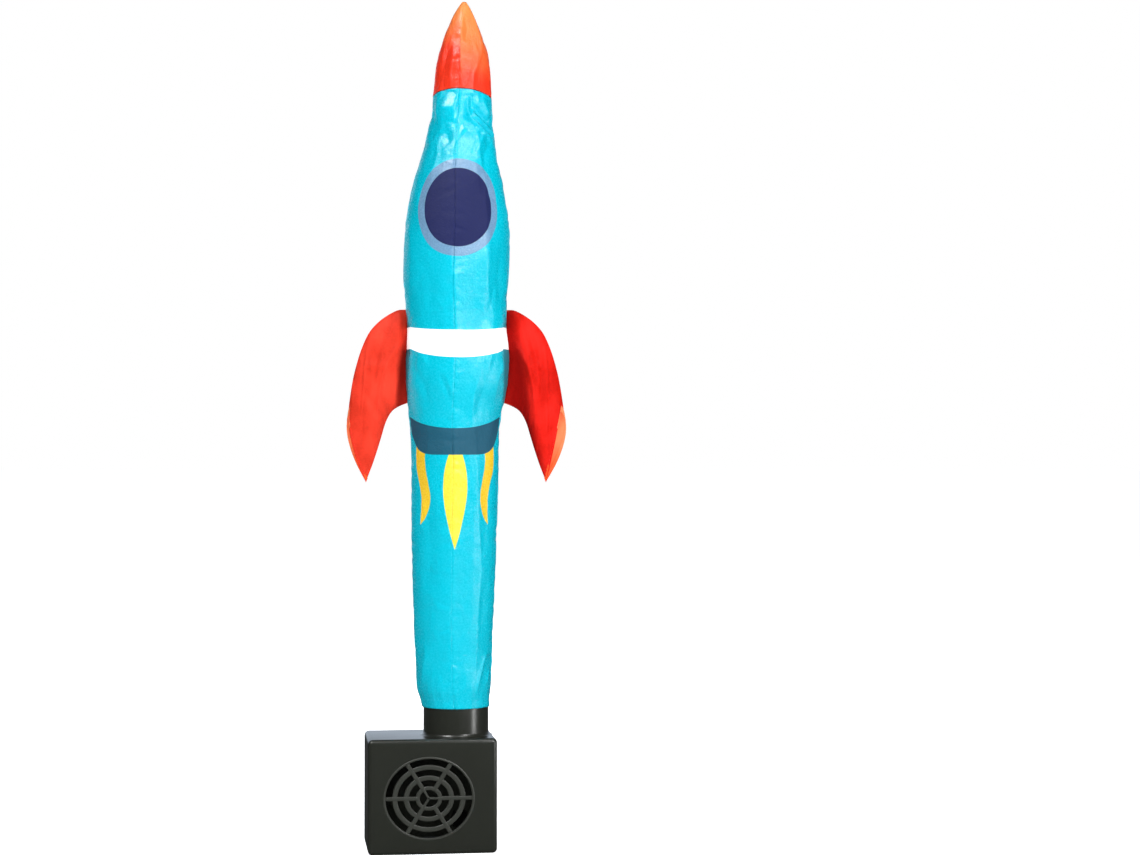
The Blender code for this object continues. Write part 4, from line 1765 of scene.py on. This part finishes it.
@dataclass
class TubeCloth:
    """The eight gores of the tube: four of the body and four of the nose."""

    form: TubeForm
    wardrobe: Wardrobe
    front_pitch: float = 0.66 * MM
    back_pitch: float = 1.1 * MM
    print_middle: float = math.radians(1.0)
    seam_turn_in: float = 0.9 * MM
    hem_depth: float = 5.5 * MM
    hem_fold: float = 0.24 * MM

    def gores(self) -> dict[str, tuple[Callable, Callable, float]]:
        """The quarters of the tube.

        Returns:
            Its start seam, end seam and middle of the print, by name.
        """
        form = self.form
        front, back = self.print_middle, math.pi + self.print_middle
        return {
            "front_left": (form.left_seam, form.front_seam, front),
            "front_right": (form.front_seam, form.right_seam, front),
            "back_right": (form.right_seam, form.back_seam, back),
            "back_left": (lambda h: -form.back_seam(h), form.left_seam, back - math.tau),
        }

    def grid(
        self,
        seams: tuple[Callable, Callable, float],
        heights: Array,
        insets: Array,
        pitch: float,
    ) -> tuple[Array, Array]:
        """The points of one gore and its flat pattern.

        Args:
            seams: The seams that it starts and ends at, and the angle of the print's middle.
            heights: Height of each row.
            insets: How far in each row lies, for rows that are turned in.
            pitch: Distance between the columns where the tube is widest.

        Returns:
            The grid of points and the grid of pattern places.
        """
        start, end, middle = seams
        span = float(np.max(end(heights) - start(heights))) * self.form.widest
        shares = np.linspace(0.0, 1.0, max(6, round(span / pitch)) + 1)
        shares = np.concatenate(([0.0], shares, [1.0]))
        turned_in = np.zeros_like(shares)
        turned_in[[0, -1]] = self.seam_turn_in
        up = heights[:, None] + np.zeros_like(shares)[None, :]
        angle = start(up) + (end(up) - start(up)) * shares[None, :]
        points = self.form.surface(angle, up, insets[:, None] + turned_in[None, :])
        across = (angle - middle) * self.form.radius(up)
        return points, np.stack((across, up), axis=-1)

    def body_rows(self, pitch: float) -> tuple[Array, Array]:
        """The body's rows: a hem at the neck, a seam at the nose.

        Args:
            pitch: Distance between the rows.

        Returns:
            The height and the inset of each row.
        """
        form = self.form
        main = even_places(form.neck_hem, form.nose_seam, pitch)
        folded = even_places(form.neck_hem, form.neck_hem + self.hem_depth, pitch)[::-1]
        heights = np.concatenate((folded, main, [form.nose_seam]))
        insets = np.concatenate(
            (np.full(len(folded), self.hem_fold), np.zeros(len(main)), [self.seam_turn_in])
        )
        insets[len(folded) - 1] = self.hem_fold
        heights[len(folded)] -= 0.05 * MM
        return heights, insets

    def nose_rows(self, pitch: float) -> tuple[Array, Array]:
        """The nose's rows, from its seam to its tip.

        Args:
            pitch: Distance between the rows.

        Returns:
            The height and the inset of each row.
        """
        form = self.form
        tip = form.sections[-1].height * MM
        main = even_places(form.nose_seam, tip, pitch * 0.8)
        heights = np.concatenate(([form.nose_seam], main, [tip]))
        insets = np.zeros_like(heights)
        insets[0] = self.seam_turn_in
        insets[-1] = 1.0 * MM
        return heights, insets

    def build(self) -> None:
        for part, rows, finish, slot in (
            ("body_", self.body_rows, self.wardrobe.body, "body_cloth"),
            ("nose_", self.nose_rows, self.wardrobe.nose, "nose_cloth"),
        ):
            for place, seams in self.gores().items():
                pitch = self.front_pitch if "front" in place else self.back_pitch
                grids = self.grid(seams, *rows(pitch), pitch)
                panel = ClothPanel(part + place + "_cloth", *grids, finish)
                made = show(panel.build(), slot, part + place)
        angles = np.linspace(-math.pi, math.pi, 241)
        level = np.full_like(angles, self.form.neck_hem + 0.8 * self.hem_depth)
        ring = self.form.surface(angles, level, -0.04 * MM)
        Stitching().sew("neck_hem_stitches", ring, self.wardrobe.body_thread, "body_cloth")


# The fins


class Side(Enum):
    """The side of the tube, as the sign of x."""

    LEFT = -1
    RIGHT = 1


class Layer(Enum):
    """The front or the back panel of a fin, as the sign of y."""

    FRONT = -1
    BACK = 1


@dataclass
class Fin:
    """One swept fin: a bag of two panels, sewn to the tube and open at its outer end."""

    side: Side
    form: TubeForm
    wardrobe: Wardrobe
    upper_edge: tuple[tuple[float, float], ...] = (
        (25.9, 285.6), (30.6, 285.2), (37.9, 281.3), (43.0, 277.0), (46.6, 272.4), (50.3, 264.3),
        (53.0, 255.8), (55.0, 247.3), (56.0, 238.8), (55.6, 231.5),
    )
    lower_edge: tuple[tuple[float, float], ...] = (
        (25.2, 236.0), (29.6, 234.3), (33.1, 232.2), (35.4, 229.4), (37.5, 225.0), (39.4, 218.8),
        (41.4, 212.2), (44.3, 203.4), (47.9, 194.0),
    )
    root_half_thickness: float = 1.0 * MM
    half_thickness: float = 7.4 * MM
    mouth_half_gap: float = 4.2 * MM
    full_by: float = 0.2
    bulge_at: float = 0.40
    pitch: float = 0.85 * MM
    crest: float = 0.30
    seam_turn_in: float = 0.8 * MM
    pucker_depth: float = 0.5 * MM
    hem_rows: int = 4
    hem_end: float = 0.955
    hem_fold: float = 0.24 * MM
    mouth_stitching: float = 0.962
    length: float = 78.0 * MM
    width: float = 52.0 * MM
    cloth_cut: tuple[float, float] = (60.0 * MM, 95.0 * MM)
    turned_in_share: float = 1.08

    def bulge(self, layer: Layer) -> float:
        """How far a panel's mouth edge bulges past a straight line.

        Args:
            layer: Which panel.

        Returns:
            The bulge in metres.
        """
        return {
            (Side.LEFT, Layer.FRONT): 3.2 * MM,
            (Side.LEFT, Layer.BACK): 5.0 * MM,
            (Side.RIGHT, Layer.FRONT): 0.4 * MM,
            (Side.RIGHT, Layer.BACK): 5.6 * MM,
        }[self.side, layer]

    def edge(self, table: tuple[tuple[float, float], ...], share: Array) -> Array:
        """Reads an edge of the fin.

        Args:
            table: The edge's points, in millimetres.
            share: Shares of the way along it.

        Returns:
            The places there, in metres.
        """
        points = np.array(table) * MM
        steps = np.hypot(*np.diff(points, axis=0).T)
        places = np.concatenate(([0.0], np.cumsum(steps)))
        at = places[-1] * share
        return np.stack([through_points(places, points[:, k], at) for k in (0, 1)], axis=-1)

    def wrinkles(self, out: Array, down: Array, layer: Layer) -> Array:
        """Puckers along both edges and slow creases towards the tip, outwards positive.

        Args:
            out: 0 at the root to 1 at the mouth.
            down: 0 at the upper edge to 1 at the lower edge.
            layer: Which panel.

        Returns:
            The relief in metres.
        """
        random = np.random.default_rng(31 + self.side.value * 5 + layer.value)
        relief = np.zeros_like(out)
        for edge in (0.0, 1.0):
            for centre in np.arange(0.04, 0.98, 0.062):
                depth = self.pucker_depth * random.uniform(-0.3, 1.0)
                width = 0.024 * random.uniform(0.8, 1.5)
                reach = 0.13 * random.uniform(0.5, 1.3)
                lean = random.uniform(-0.25, 0.25)
                off = np.abs(down - edge)
                spot = centre + random.uniform(-0.02, 0.02)
                relief -= depth * np.exp(
                    -(((out - spot - lean * off) / width) ** 2) - (off / reach) ** 2
                )
        for spot_out, spot_down, lean, width, depth in (
            (0.30, 0.30, 0.5, 0.06, 1.2),
            (0.52, 0.62, -0.4, 0.06, 1.15),
            (0.68, 0.42, 0.6, 0.06, 1.0),
            (0.84, 0.55, -0.5, 0.05, 0.85),
            (0.42, 0.30, -0.9, 0.045, -1.0),
            (0.62, 0.34, 0.8, 0.045, -0.95),
            (0.24, 0.55, 0.9, 0.05, -1.0),
        ):
            line = (out - spot_out) - lean * (down - spot_down)
            relief -= depth * MM * np.exp(
                -((line / width) ** 2) - ((down - spot_down) / 0.22) ** 2
            )
        return relief

    def surface(self, layer: Layer, out: Array, down: Array, inset: Array) -> Array:
        """Points on a panel.

        Args:
            layer: Which panel.
            out: 0 at the root to 1 at the mouth.
            down: 0 at the upper edge to 1 at the lower edge.
            inset: How far in from the cloth's outside.

        Returns:
            The points, turned as the tube sits on the blower.
        """
        upper = self.edge(self.upper_edge, out)
        lower = self.edge(self.lower_edge, out)
        across = upper[..., 0] + (lower[..., 0] - upper[..., 0]) * down
        height = upper[..., 1] + (lower[..., 1] - upper[..., 1]) * down
        hump = np.clip(4 * down * (1 - down), 0.0, 1.0)
        skewed = np.clip(down, 0, 1) ** (math.log(0.5) / math.log(self.bulge_at))
        across = across + self.bulge(layer) * 4 * skewed * (1 - skewed) * out**4
        steep = {Side.LEFT: 0.05 + 0.09 * down, Side.RIGHT: 0.10 + 0.24 * down}[self.side]
        ramp = np.clip(out / steep, 0.0, 1.0)
        swell = 0.75 * ramp + 0.25 * smooth_step(0.0, 1.0, ramp)
        puff = self.root_half_thickness + (self.half_thickness - self.root_half_thickness) * swell
        slack = smooth_step(self.full_by, 1.0, out)
        puff = puff + (self.mouth_half_gap - self.half_thickness) * slack
        tent = 1 - np.abs(2 * down - 1)
        shape = (1 - self.crest) * hump**0.62 + self.crest * tent
        base = puff * shape
        most = 0.5 * base + 0.01 * MM
        depth = base + most * np.tanh(self.wrinkles(out, down, layer) / most)
        depth = np.maximum(depth, 0.02 * MM)
        depth = depth - inset * np.where(hump > 0.02, 1.0, 0.3)
        depth = layer.value * depth
        root_across, root_height = (
            (self.upper_edge[0][k] + (self.lower_edge[0][k] - self.upper_edge[0][k]) * down) * MM
            for k in (0, 1)
        )
        root_depth = self.root_half_thickness * hump**0.62
        radius = self.form.radius(root_height)
        around = np.arccos(np.clip(-layer.value * root_depth / radius, -1, 1))
        on_body = self.form.surface(self.side.value * around, root_height, -0.1 * MM)
        on_body = turned_points(on_body, -self.form.turn)
        across = across + (self.side.value * on_body[..., 0] - root_across) * (1 - out) ** 3
        x = self.side.value * across
        return turned_points(np.stack((x, depth, height), axis=-1), self.form.turn)

    def panel(self, layer: Layer) -> ClothPanel:
        """One panel of the bag, with its edges turned in and a hem at the mouth.

        Args:
            layer: Which panel.

        Returns:
            The panel, not yet built.
        """
        outs = np.linspace(0.0, 1.0, round(self.length / self.pitch) + 1)
        downs = np.linspace(0.0, 1.0, round(self.width / self.pitch) + 1)
        downs = np.concatenate(([0.0], downs, [1.0]))
        inset = np.zeros((len(outs) + self.hem_rows, len(downs)))
        inset[:, 0] = inset[:, -1] = self.seam_turn_in
        hem = np.linspace(1.0, self.hem_end, self.hem_rows)
        inset[len(outs) :] += self.hem_fold
        outs = np.concatenate((outs, hem))
        out, down = np.meshgrid(outs, downs, indexing="ij")
        points = self.surface(layer, out, down, inset)
        upper = self.edge(self.upper_edge, out)
        lower = self.edge(self.lower_edge, out)
        flat = (upper + (lower - upper) * down[..., None]) * (self.side.value, 1.0)
        order = slice(None) if self.side.value * layer.value < 0 else slice(None, None, -1)
        name = f"fin_{self.side.name.lower()}_{layer.name.lower()}_cloth"
        return ClothPanel(
            name,
            points[:, order],
            flat[:, order],
            self.wardrobe.fin,
            self.wardrobe.fin_inside,
            hem_rows=self.hem_rows,
        )

    def build(self) -> None:
        """Builds both panels, and sews their mouth hems."""
        stitching = Stitching()
        for layer in Layer:
            panel = self.panel(layer)
            node = f"fin_{self.side.name.lower()}_{layer.name.lower()}"
            made = show(panel.build(), "fin_cloth", node)
            panel.flat_area() * self.turned_in_share
            down = np.linspace(0.05, 0.95, 60)
            out = np.full_like(down, self.mouth_stitching)
            line = self.surface(layer, out, down, np.full_like(down, -0.04 * MM))
            stitching.sew(f"{node}_stitches", line, self.wardrobe.fin_thread, "fin_cloth")


# The blower


@dataclass
class Blower:
    """The moulded housing, its intake guard, rear cover and power inlet.

    The guard is made round, then stretched to its oval. Each of its ring bars is given as
    its radius and its width, in millimetres.
    """

    wardrobe: Wardrobe
    rounding: float = 2.4 * MM
    rounding_steps: int = 6
    wall: float = 2.2 * MM
    outlet_radius: float = 17.2 * MM
    outlet_wall: float = 1.8 * MM
    outlet_top: float = 86.0 * MM
    outlet_fillet: float = 2.0 * MM
    box_height: float = 60.0 * MM
    guard_x: float = -15.8 * MM
    guard_z: float = 29.2 * MM
    guard_radius: float = 22.2 * MM
    guard_wide: float = 1.035
    guard_tall: float = 0.94
    bars: tuple[tuple[float, float], ...] = ((17.2, 2.6), (11.4, 2.6), (5.7, 2.1))
    spoke_width: float = 2.2 * MM
    hub_spoke_width: float = 1.2 * MM
    bar_sink: float = 0.35 * MM
    bar_thickness: float = 1.8 * MM
    turns: int = 128
    spoke_proud: float = 0.09 * MM
    screw_inset: float = 5.0 * MM
    front: float = field(init=False)
    left: float = field(init=False)
    right: float = field(init=False)
    back: float = field(init=False)

    def __post_init__(self) -> None:
        """Reads the housing's sides from the frame."""
        low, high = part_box("blower_housing")
        self.left, self.front = low.x, low.y
        self.right, self.back = high.x, high.y

    def revolved(
        self, name: str, profile: list[tuple[float, float]], axis: str, place: tuple[float, float]
    ) -> Piece:
        """A closed solid of revolution.

        Args:
            name: Its name.
            profile: Points as (radius, distance along the axis).
            axis: "Z" upwards, or "Y" from front to back.
            place: Where the axis is, as (x, y) for Z and (x, z) for Y.

        Returns:
            The solid, facing outwards.
        """
        angles = np.linspace(0, math.tau, self.turns, endpoint=False)
        rings = []
        for radius, along in profile:
            across, other = radius * np.cos(angles), radius * np.sin(angles)
            level = np.full(self.turns, along)
            if axis == "Z":
                rings.append(np.stack((place[0] + across, place[1] + other, level), axis=-1))
            else:
                rings.append(np.stack((place[0] + across, level, place[1] + other), axis=-1))
        count = len(profile)
        faces = []
        for ring in range(count):
            for step in range(self.turns):
                after, beside = (ring + 1) % count, (step + 1) % self.turns
                faces.append(
                    (
                        ring * self.turns + step,
                        ring * self.turns + beside,
                        after * self.turns + beside,
                        after * self.turns + step,
                    )
                )
        return face_outwards(mesh_object(name, np.concatenate(rings), faces))

    def block(self, name: str, low: tuple, high: tuple, rounding: float = 0.0) -> Piece:
        """A box between two corners, its edges rounded except those of the open back.

        Args:
            name: Its name.
            low: Its lowest corner.
            high: Its highest corner.
            rounding: Radius of its edges.

        Returns:
            The box.
        """
        bm = bmesh.new()
        bmesh.ops.create_cube(bm, size=1.0)
        middle = (Vector(low) + Vector(high)) / 2
        size = Vector(high) - Vector(low)
        for vertex in bm.verts:
            vertex.co = middle + Vector(c * s for c, s in zip(vertex.co, size))
        if rounding:
            kept = [
                edge
                for edge in bm.edges
                if not all(abs(vertex.co.y - high[1]) < 1e-6 for vertex in edge.verts)
            ]
            bmesh.ops.bevel(
                bm,
                geom=kept,
                offset=rounding,
                segments=self.rounding_steps,
                profile=0.5,
                affect="EDGES",
            )
        mesh = bpy.data.meshes.new(name)
        bm.to_mesh(mesh)
        bm.free()
        return link_mesh(name, mesh)

    def rod(self, name: str, radius: float, ends: tuple[float, float], axis: str) -> Piece:
        """A closed cylinder that cuts a round hole.

        Args:
            name: Its name.
            radius: Its radius.
            ends: Where it starts and ends along its axis.
            axis: "Z" for the bore or "Y" for the intake hole.

        Returns:
            The cutter.
        """
        place = (0.0, 0.0) if axis == "Z" else (self.guard_x, self.guard_z)
        thin = 1e-5
        profile = [(thin, ends[0]), (radius, ends[0]), (radius, ends[1]), (thin, ends[1])]
        return self.revolved(name, profile, axis, place)

    def carve(self, base: Piece, tool: Piece) -> None:
        """Cuts a tool out of a base and removes the tool.

        Args:
            base: What is cut.
            tool: What cuts it.
        """
        cut = base.modifiers.new("cut", "BOOLEAN")
        cut.operation = "DIFFERENCE"
        cut.solver = "EXACT"
        cut.object = tool
        settle(base)
        bpy.data.objects.remove(tool, do_unlink=True)

    def shell(self) -> Piece:
        """The housing's walls, with the bore under the outlet and the intake hole.

        Returns:
            The hollow housing.
        """
        made = self.block(
            "blower_shell",
            (self.left, self.front, 0.0),
            (self.right, self.back, self.box_height),
            self.rounding,
        )
        hollow = self.block(
            "hollow",
            (self.left + self.wall, self.front + self.wall, self.wall),
            (self.right - self.wall, self.back + self.wall, self.box_height - self.wall),
        )
        self.carve(made, hollow)
        bore = self.outlet_radius - self.outlet_wall
        level = self.box_height
        self.carve(made, self.rod("bore", bore, (level - 3 * self.wall, level + self.wall), "Z"))
        intake = (self.front - self.wall, self.front + 2 * self.wall)
        self.carve(made, self.oval(self.rod("intake", self.guard_radius, intake, "Y")))
        made.data.materials.clear()
        made.data.materials.append(self.wardrobe.housing)
        made.data.materials.append(self.wardrobe.inside)
        # The faces deep inside take the near-black painted shade.
        inner = self.wall * 0.9
        for face in made.data.polygons:
            centre = face.center
            deep = (
                self.left + inner < centre.x < self.right - inner
                and self.front + inner < centre.y
                and inner < centre.z < self.box_height - inner
            )
            face.material_index = 1 if deep else 0
        return crisp(made, 30)

    def outlet(self) -> Piece:
        """The round outlet with its moulded foot and rounded mouth.

        Returns:
            The outlet.
        """
        radius, level, fillet = self.outlet_radius, self.box_height, self.outlet_fillet
        inner = radius - self.outlet_wall
        profile = [(inner, level - self.wall), (radius + fillet, level - self.wall)]
        for step in range(9):
            angle = math.pi / 2 * step / 8
            profile.append(
                (
                    radius + fillet * (1 - math.sin(angle)),
                    level + 0.02 * MM + fillet * (1 - math.cos(angle)),
                )
            )
        lip = self.outlet_wall / 2
        for step in range(7):
            angle = math.pi * step / 6
            profile.append(
                (
                    radius - lip + lip * math.cos(angle),
                    self.outlet_top - lip + lip * math.sin(angle),
                )
            )
        made = self.revolved("blower_outlet", profile, "Z", (0.0, 0.0))
        made.data.materials.append(self.wardrobe.housing)
        return crisp(made, 40)

    def bar_profile(self, width: float, proud: float = 0.0) -> list[tuple[float, float]]:
        """Outline of a bar's section: a flat back and a rounded front.

        Args:
            width: The bar's width.
            proud: How far it stands out from the ring bars.

        Returns:
            Points as (place across, place from front to back).
        """
        half, sink = width / 2, self.front + self.bar_sink - proud
        soft = min(half * 0.5, 0.45 * MM)
        points = [(-half, sink + self.bar_thickness), (-half, sink + soft)]
        for step in range(1, 6):
            angle = math.pi / 2 * step / 5
            across, depth = 1 - math.cos(angle), 1 - math.sin(angle)
            points.append((-half + soft * across, sink + soft * depth))
        mirrored = [(-across, depth) for across, depth in reversed(points)]
        return points + mirrored

    def spoke(self, reach: tuple[float, float], width: float) -> Piece:
        """One straight bar along +X from the guard's centre, which is at the origin.

        Args:
            reach: Where it starts and ends.
            width: Its width.

        Returns:
            The bar.
        """
        profile = self.bar_profile(width, self.spoke_proud)
        points = [(distance, depth, offset) for distance in reach for offset, depth in profile]
        count = len(profile)
        faces = [(i, (i + 1) % count, count + (i + 1) % count, count + i) for i in range(count)]
        faces += [tuple(range(count)), tuple(range(count, 2 * count))]
        return face_outwards(mesh_object("spoke", points, faces))

    def oval(self, made: Piece) -> Piece:
        """Stretches a round piece of the intake to its oval.

        Args:
            made: The piece.

        Returns:
            The same piece.
        """
        for vertex in made.data.vertices:
            vertex.co.x = self.guard_x + (vertex.co.x - self.guard_x) * self.guard_wide
            vertex.co.z = self.guard_z + (vertex.co.z - self.guard_z) * self.guard_tall
        return made

    def guard(self) -> Piece:
        """Ring bars, spokes, hub and the raised rim of the intake.

        Returns:
            The guard as one piece.
        """
        place = (self.guard_x, self.guard_z)
        pieces = []
        for radius, width in self.bars:
            profile = [
                (radius * MM + offset, depth) for offset, depth in self.bar_profile(width * MM)
            ]
            pieces.append(self.revolved("ring", profile, "Y", place))
        rim = self.guard_radius
        edge = self.front
        pieces.append(
            self.revolved(
                "rim",
                [
                    (rim - 0.35 * MM, edge + self.wall),
                    (rim - 0.35 * MM, edge + 0.3 * MM),
                    (rim - 0.2 * MM, edge - 0.05 * MM),
                    (rim + 0.2 * MM, edge - 0.22 * MM),
                    (rim + 0.7 * MM, edge - 0.12 * MM),
                    (rim + 1.0 * MM, edge + 0.1 * MM),
                    (rim + 0.8 * MM, edge + self.wall * 0.8),
                ],
                "Y",
                place,
            )
        )
        hub = (self.bars[-1][0] - self.bars[-1][1] / 4) * MM
        recipe = spokes_recipe()
        for count, reach, width in (
            (6, (hub, rim + 0.3 * MM), self.spoke_width),
            (3, (-0.3 * MM, hub), self.hub_spoke_width),
        ):
            centre = (self.guard_x, 0.0, self.guard_z)
            pieces.append(recipe.run(self.spoke(reach, width), {"Count": count, "Centre": centre}))
        bm = bmesh.new()
        for piece in pieces:
            bm.from_mesh(piece.data)
            bpy.data.objects.remove(piece, do_unlink=True)
        mesh = bpy.data.meshes.new("intake_guard")
        bm.to_mesh(mesh)
        bm.free()
        mesh.materials.append(self.wardrobe.guard)
        return self.oval(crisp(link_mesh("intake_guard", mesh), 40))

    def softened(self, node: str, material: Material, width: float) -> Piece:
        """A copy of a CAD node with its edges softened.

        Args:
            node: The node.
            material: The copy's finish.
            width: How wide its softened edges are.

        Returns:
            The copy.
        """
        made = link_mesh(node + "_moulded", bpy.data.objects[node].data.copy())
        bm = bmesh.new()
        bm.from_mesh(made.data)
        bmesh.ops.remove_doubles(bm, verts=bm.verts, dist=1e-6)
        bmesh.ops.dissolve_limit(bm, angle_limit=math.radians(1), verts=bm.verts, edges=bm.edges)
        bm.to_mesh(made.data)
        bm.free()
        made.data.materials.clear()
        made.data.materials.append(material)
        bevel = made.modifiers.new("soft_edges", "BEVEL")
        bevel.width = width
        bevel.segments = 2
        bevel.limit_method = "ANGLE"
        bevel.angle_limit = math.radians(50)
        return crisp(settle(made), 35)

    def build(self) -> None:
        """Builds every hard piece."""
        show(self.shell(), "housing_plastic", "blower_housing")
        show(self.outlet(), "housing_plastic")
        show(self.guard(), "housing_plastic")
        cover = self.softened("blower_cover", self.wardrobe.housing, 0.3 * MM)
        show(cover, "housing_plastic", "blower_cover")
        inlet = self.softened("power_inlet", self.wardrobe.socket, 0.25 * MM)
        show(inlet, "socket_plastic", "power_inlet")
        low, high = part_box("blower_cover")
        inset = self.screw_inset
        corners = [
            Vector((x, high.y - 0.1 * MM, z))
            for x in (low.x + inset, high.x - inset)
            for z in (low.z + inset, high.z - inset)
        ]
        Screws().drive("cover_screws", corners, self.wardrobe.steel)


# The studio


@dataclass(frozen=True)
class SoftBox:
    """A square soft light that points at the object, with the shading that it takes part in."""

    name: str
    place: tuple[float, float, float]
    size: float
    power: float
    glossy: bool = True
    diffuse: bool = True


@dataclass
class Studio:
    """Floor, lights and camera."""

    aim: Vector = field(default_factory=lambda: Vector((0.0, 0.0, 0.23)))
    camera_place: Vector = field(default_factory=lambda: Vector((-0.100, -1.20, 0.2046)))
    frame_width: int = 1140
    focal_px: float = 2258.7
    yaw: float = math.radians(7.65)
    pitch: float = math.radians(0.87)
    lights: tuple[SoftBox, ...] = (
        SoftBox("key_light", (0.75, -1.24, 0.84), 0.4, 14.6),
        SoftBox("left_glint", (-0.62, -0.60, 1.35), 0.4, 22.0, diffuse=False),
        SoftBox("right_glint", (0.45, -0.62, 1.50), 0.4, 5.5, diffuse=False),
        SoftBox("side_glint", (1.45, -0.78, 0.13), 0.24, 5.0, diffuse=False),
        SoftBox("front_light", (-0.36, -1.46, 0.45), 0.8, 14.2, glossy=False),
        SoftBox("left_fill", (-1.55, -0.35, 0.35), 1.2, 6.0, glossy=False),
        SoftBox("right_fill", (1.55, -0.2, 0.35), 1.2, 2.0, glossy=False),
        SoftBox("top_light", (0.1, -0.2, 1.9), 0.8, 6.0, glossy=False),
        SoftBox("back_light", (-0.5, 1.3, 0.9), 0.8, 12.0, glossy=False),
    )
    room_front: float = 0.02
    room_back: float = 1.3
    room_turns: tuple[float, float] = (0.72, 0.99)
    room_tint: Colour = (0.84, 0.96, 1.12, 1.0)
    floor_lift: float = 0.95

    def floor(self) -> None:
        """A plain pale floor, darker to the object's reflections than to the camera."""
        reach = 60.0
        corners = [(x * reach, y * reach, 0) for x, y in ((-1, -1), (1, -1), (1, 1), (-1, 1))]
        material, graph, shader = new_material("pale_floor")
        rays = graph.node("ShaderNodeLightPath").outputs
        seen, reflected = rays["Is Camera Ray"], rays["Is Glossy Ray"]
        unseen = graph.mix(reflected, (0.55, 0.55, 0.55, 1.0), (0.06, 0.06, 0.06, 1.0))
        graph.feed(shader, "Base Color", graph.mix(seen, unseen, linear(251, 251, 251)))
        graph.feed(shader, "Roughness", 0.9)
        graph.feed(shader, "Specular IOR Level", 0.0)
        graph.feed(shader, "Emission Color", (1.0, 1.0, 1.0, 1.0))
        graph.feed(shader, "Emission Strength", graph.math("MULTIPLY", seen, self.floor_lift))
        made = mesh_object("floor", corners, [(0, 1, 2, 3)])
        made.data.materials.append(material)

    def surroundings(self) -> None:
        """A plain room, dark in front and bright behind, and plain colours."""
        scene = bpy.context.scene
        world = bpy.data.worlds.new("studio")
        world.use_nodes = True
        graph = Graph(world.node_tree)
        background = world.node_tree.nodes["Background"]
        way = graph.node("ShaderNodeTexCoord").outputs["Generated"]
        back = graph.node("ShaderNodeSeparateXYZ", {0: way}).outputs[1]
        shades = (self.room_front, self.room_back)
        room = graph.remap(back, self.room_turns, shades, interpolation_type="SMOOTHSTEP")
        seen = graph.node("ShaderNodeLightPath").outputs["Is Camera Ray"]
        strength = graph.add("ShaderNodeMix", {0: seen, 2: room, 3: 1.0})
        tint = graph.mix(seen, self.room_tint, (1.0, 1.0, 1.0, 1.0))
        graph.feed(background, "Color", tint)
        graph.feed(background, "Strength", strength)
        scene.world = world
        scene.view_settings.view_transform = "Standard"
        scene.view_settings.look = "None"

    def lamps(self) -> None:
        """The soft lights."""
        for box in self.lights:
            data = bpy.data.lights.new(box.name, "AREA")
            data.size = box.size
            data.energy = box.power
            lamp = bpy.data.objects.new(box.name, data)
            lamp.location = box.place
            lamp.visible_glossy = box.glossy
            lamp.visible_diffuse = box.diffuse
            data.cycles.use_multiple_importance_sampling = box.glossy
            direction = self.aim - Vector(box.place)
            lamp.rotation_euler = direction.to_track_quat("-Z", "Y").to_euler()
            bpy.context.scene.collection.objects.link(lamp)

    def camera(self) -> None:
        """The camera at the photograph's angle."""
        data = bpy.data.cameras.new("camera")
        data.sensor_fit = "HORIZONTAL"
        data.sensor_width = 36.0
        data.lens = self.focal_px * data.sensor_width / self.frame_width
        data.clip_start = 0.01
        eye = bpy.data.objects.new("camera", data)
        eye.location = self.camera_place
        eye.rotation_euler = (math.pi / 2 + self.pitch, 0.0, -self.yaw)
        bpy.context.scene.collection.objects.link(eye)
        bpy.context.scene.camera = eye

    def build(self) -> None:
        """Builds the whole studio."""
        self.floor()
        self.surroundings()
        self.lamps()
        self.camera()


def main() -> None:
    """Builds the studio and every piece of the air dancer."""
    logging.basicConfig(level=logging.INFO, format="%(message)s")
    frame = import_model()
    LOG.info("frame: %d nodes", len(frame["nodes"]))
    Studio().build()
    wardrobe = Wardrobe.build()
    form = TubeForm()
    Blower(wardrobe).build()
    TubeCloth(form, wardrobe).build()
    for side in Side:
        Fin(side, form, wardrobe).build()
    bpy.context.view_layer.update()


if __name__ == "__main__":
    main()
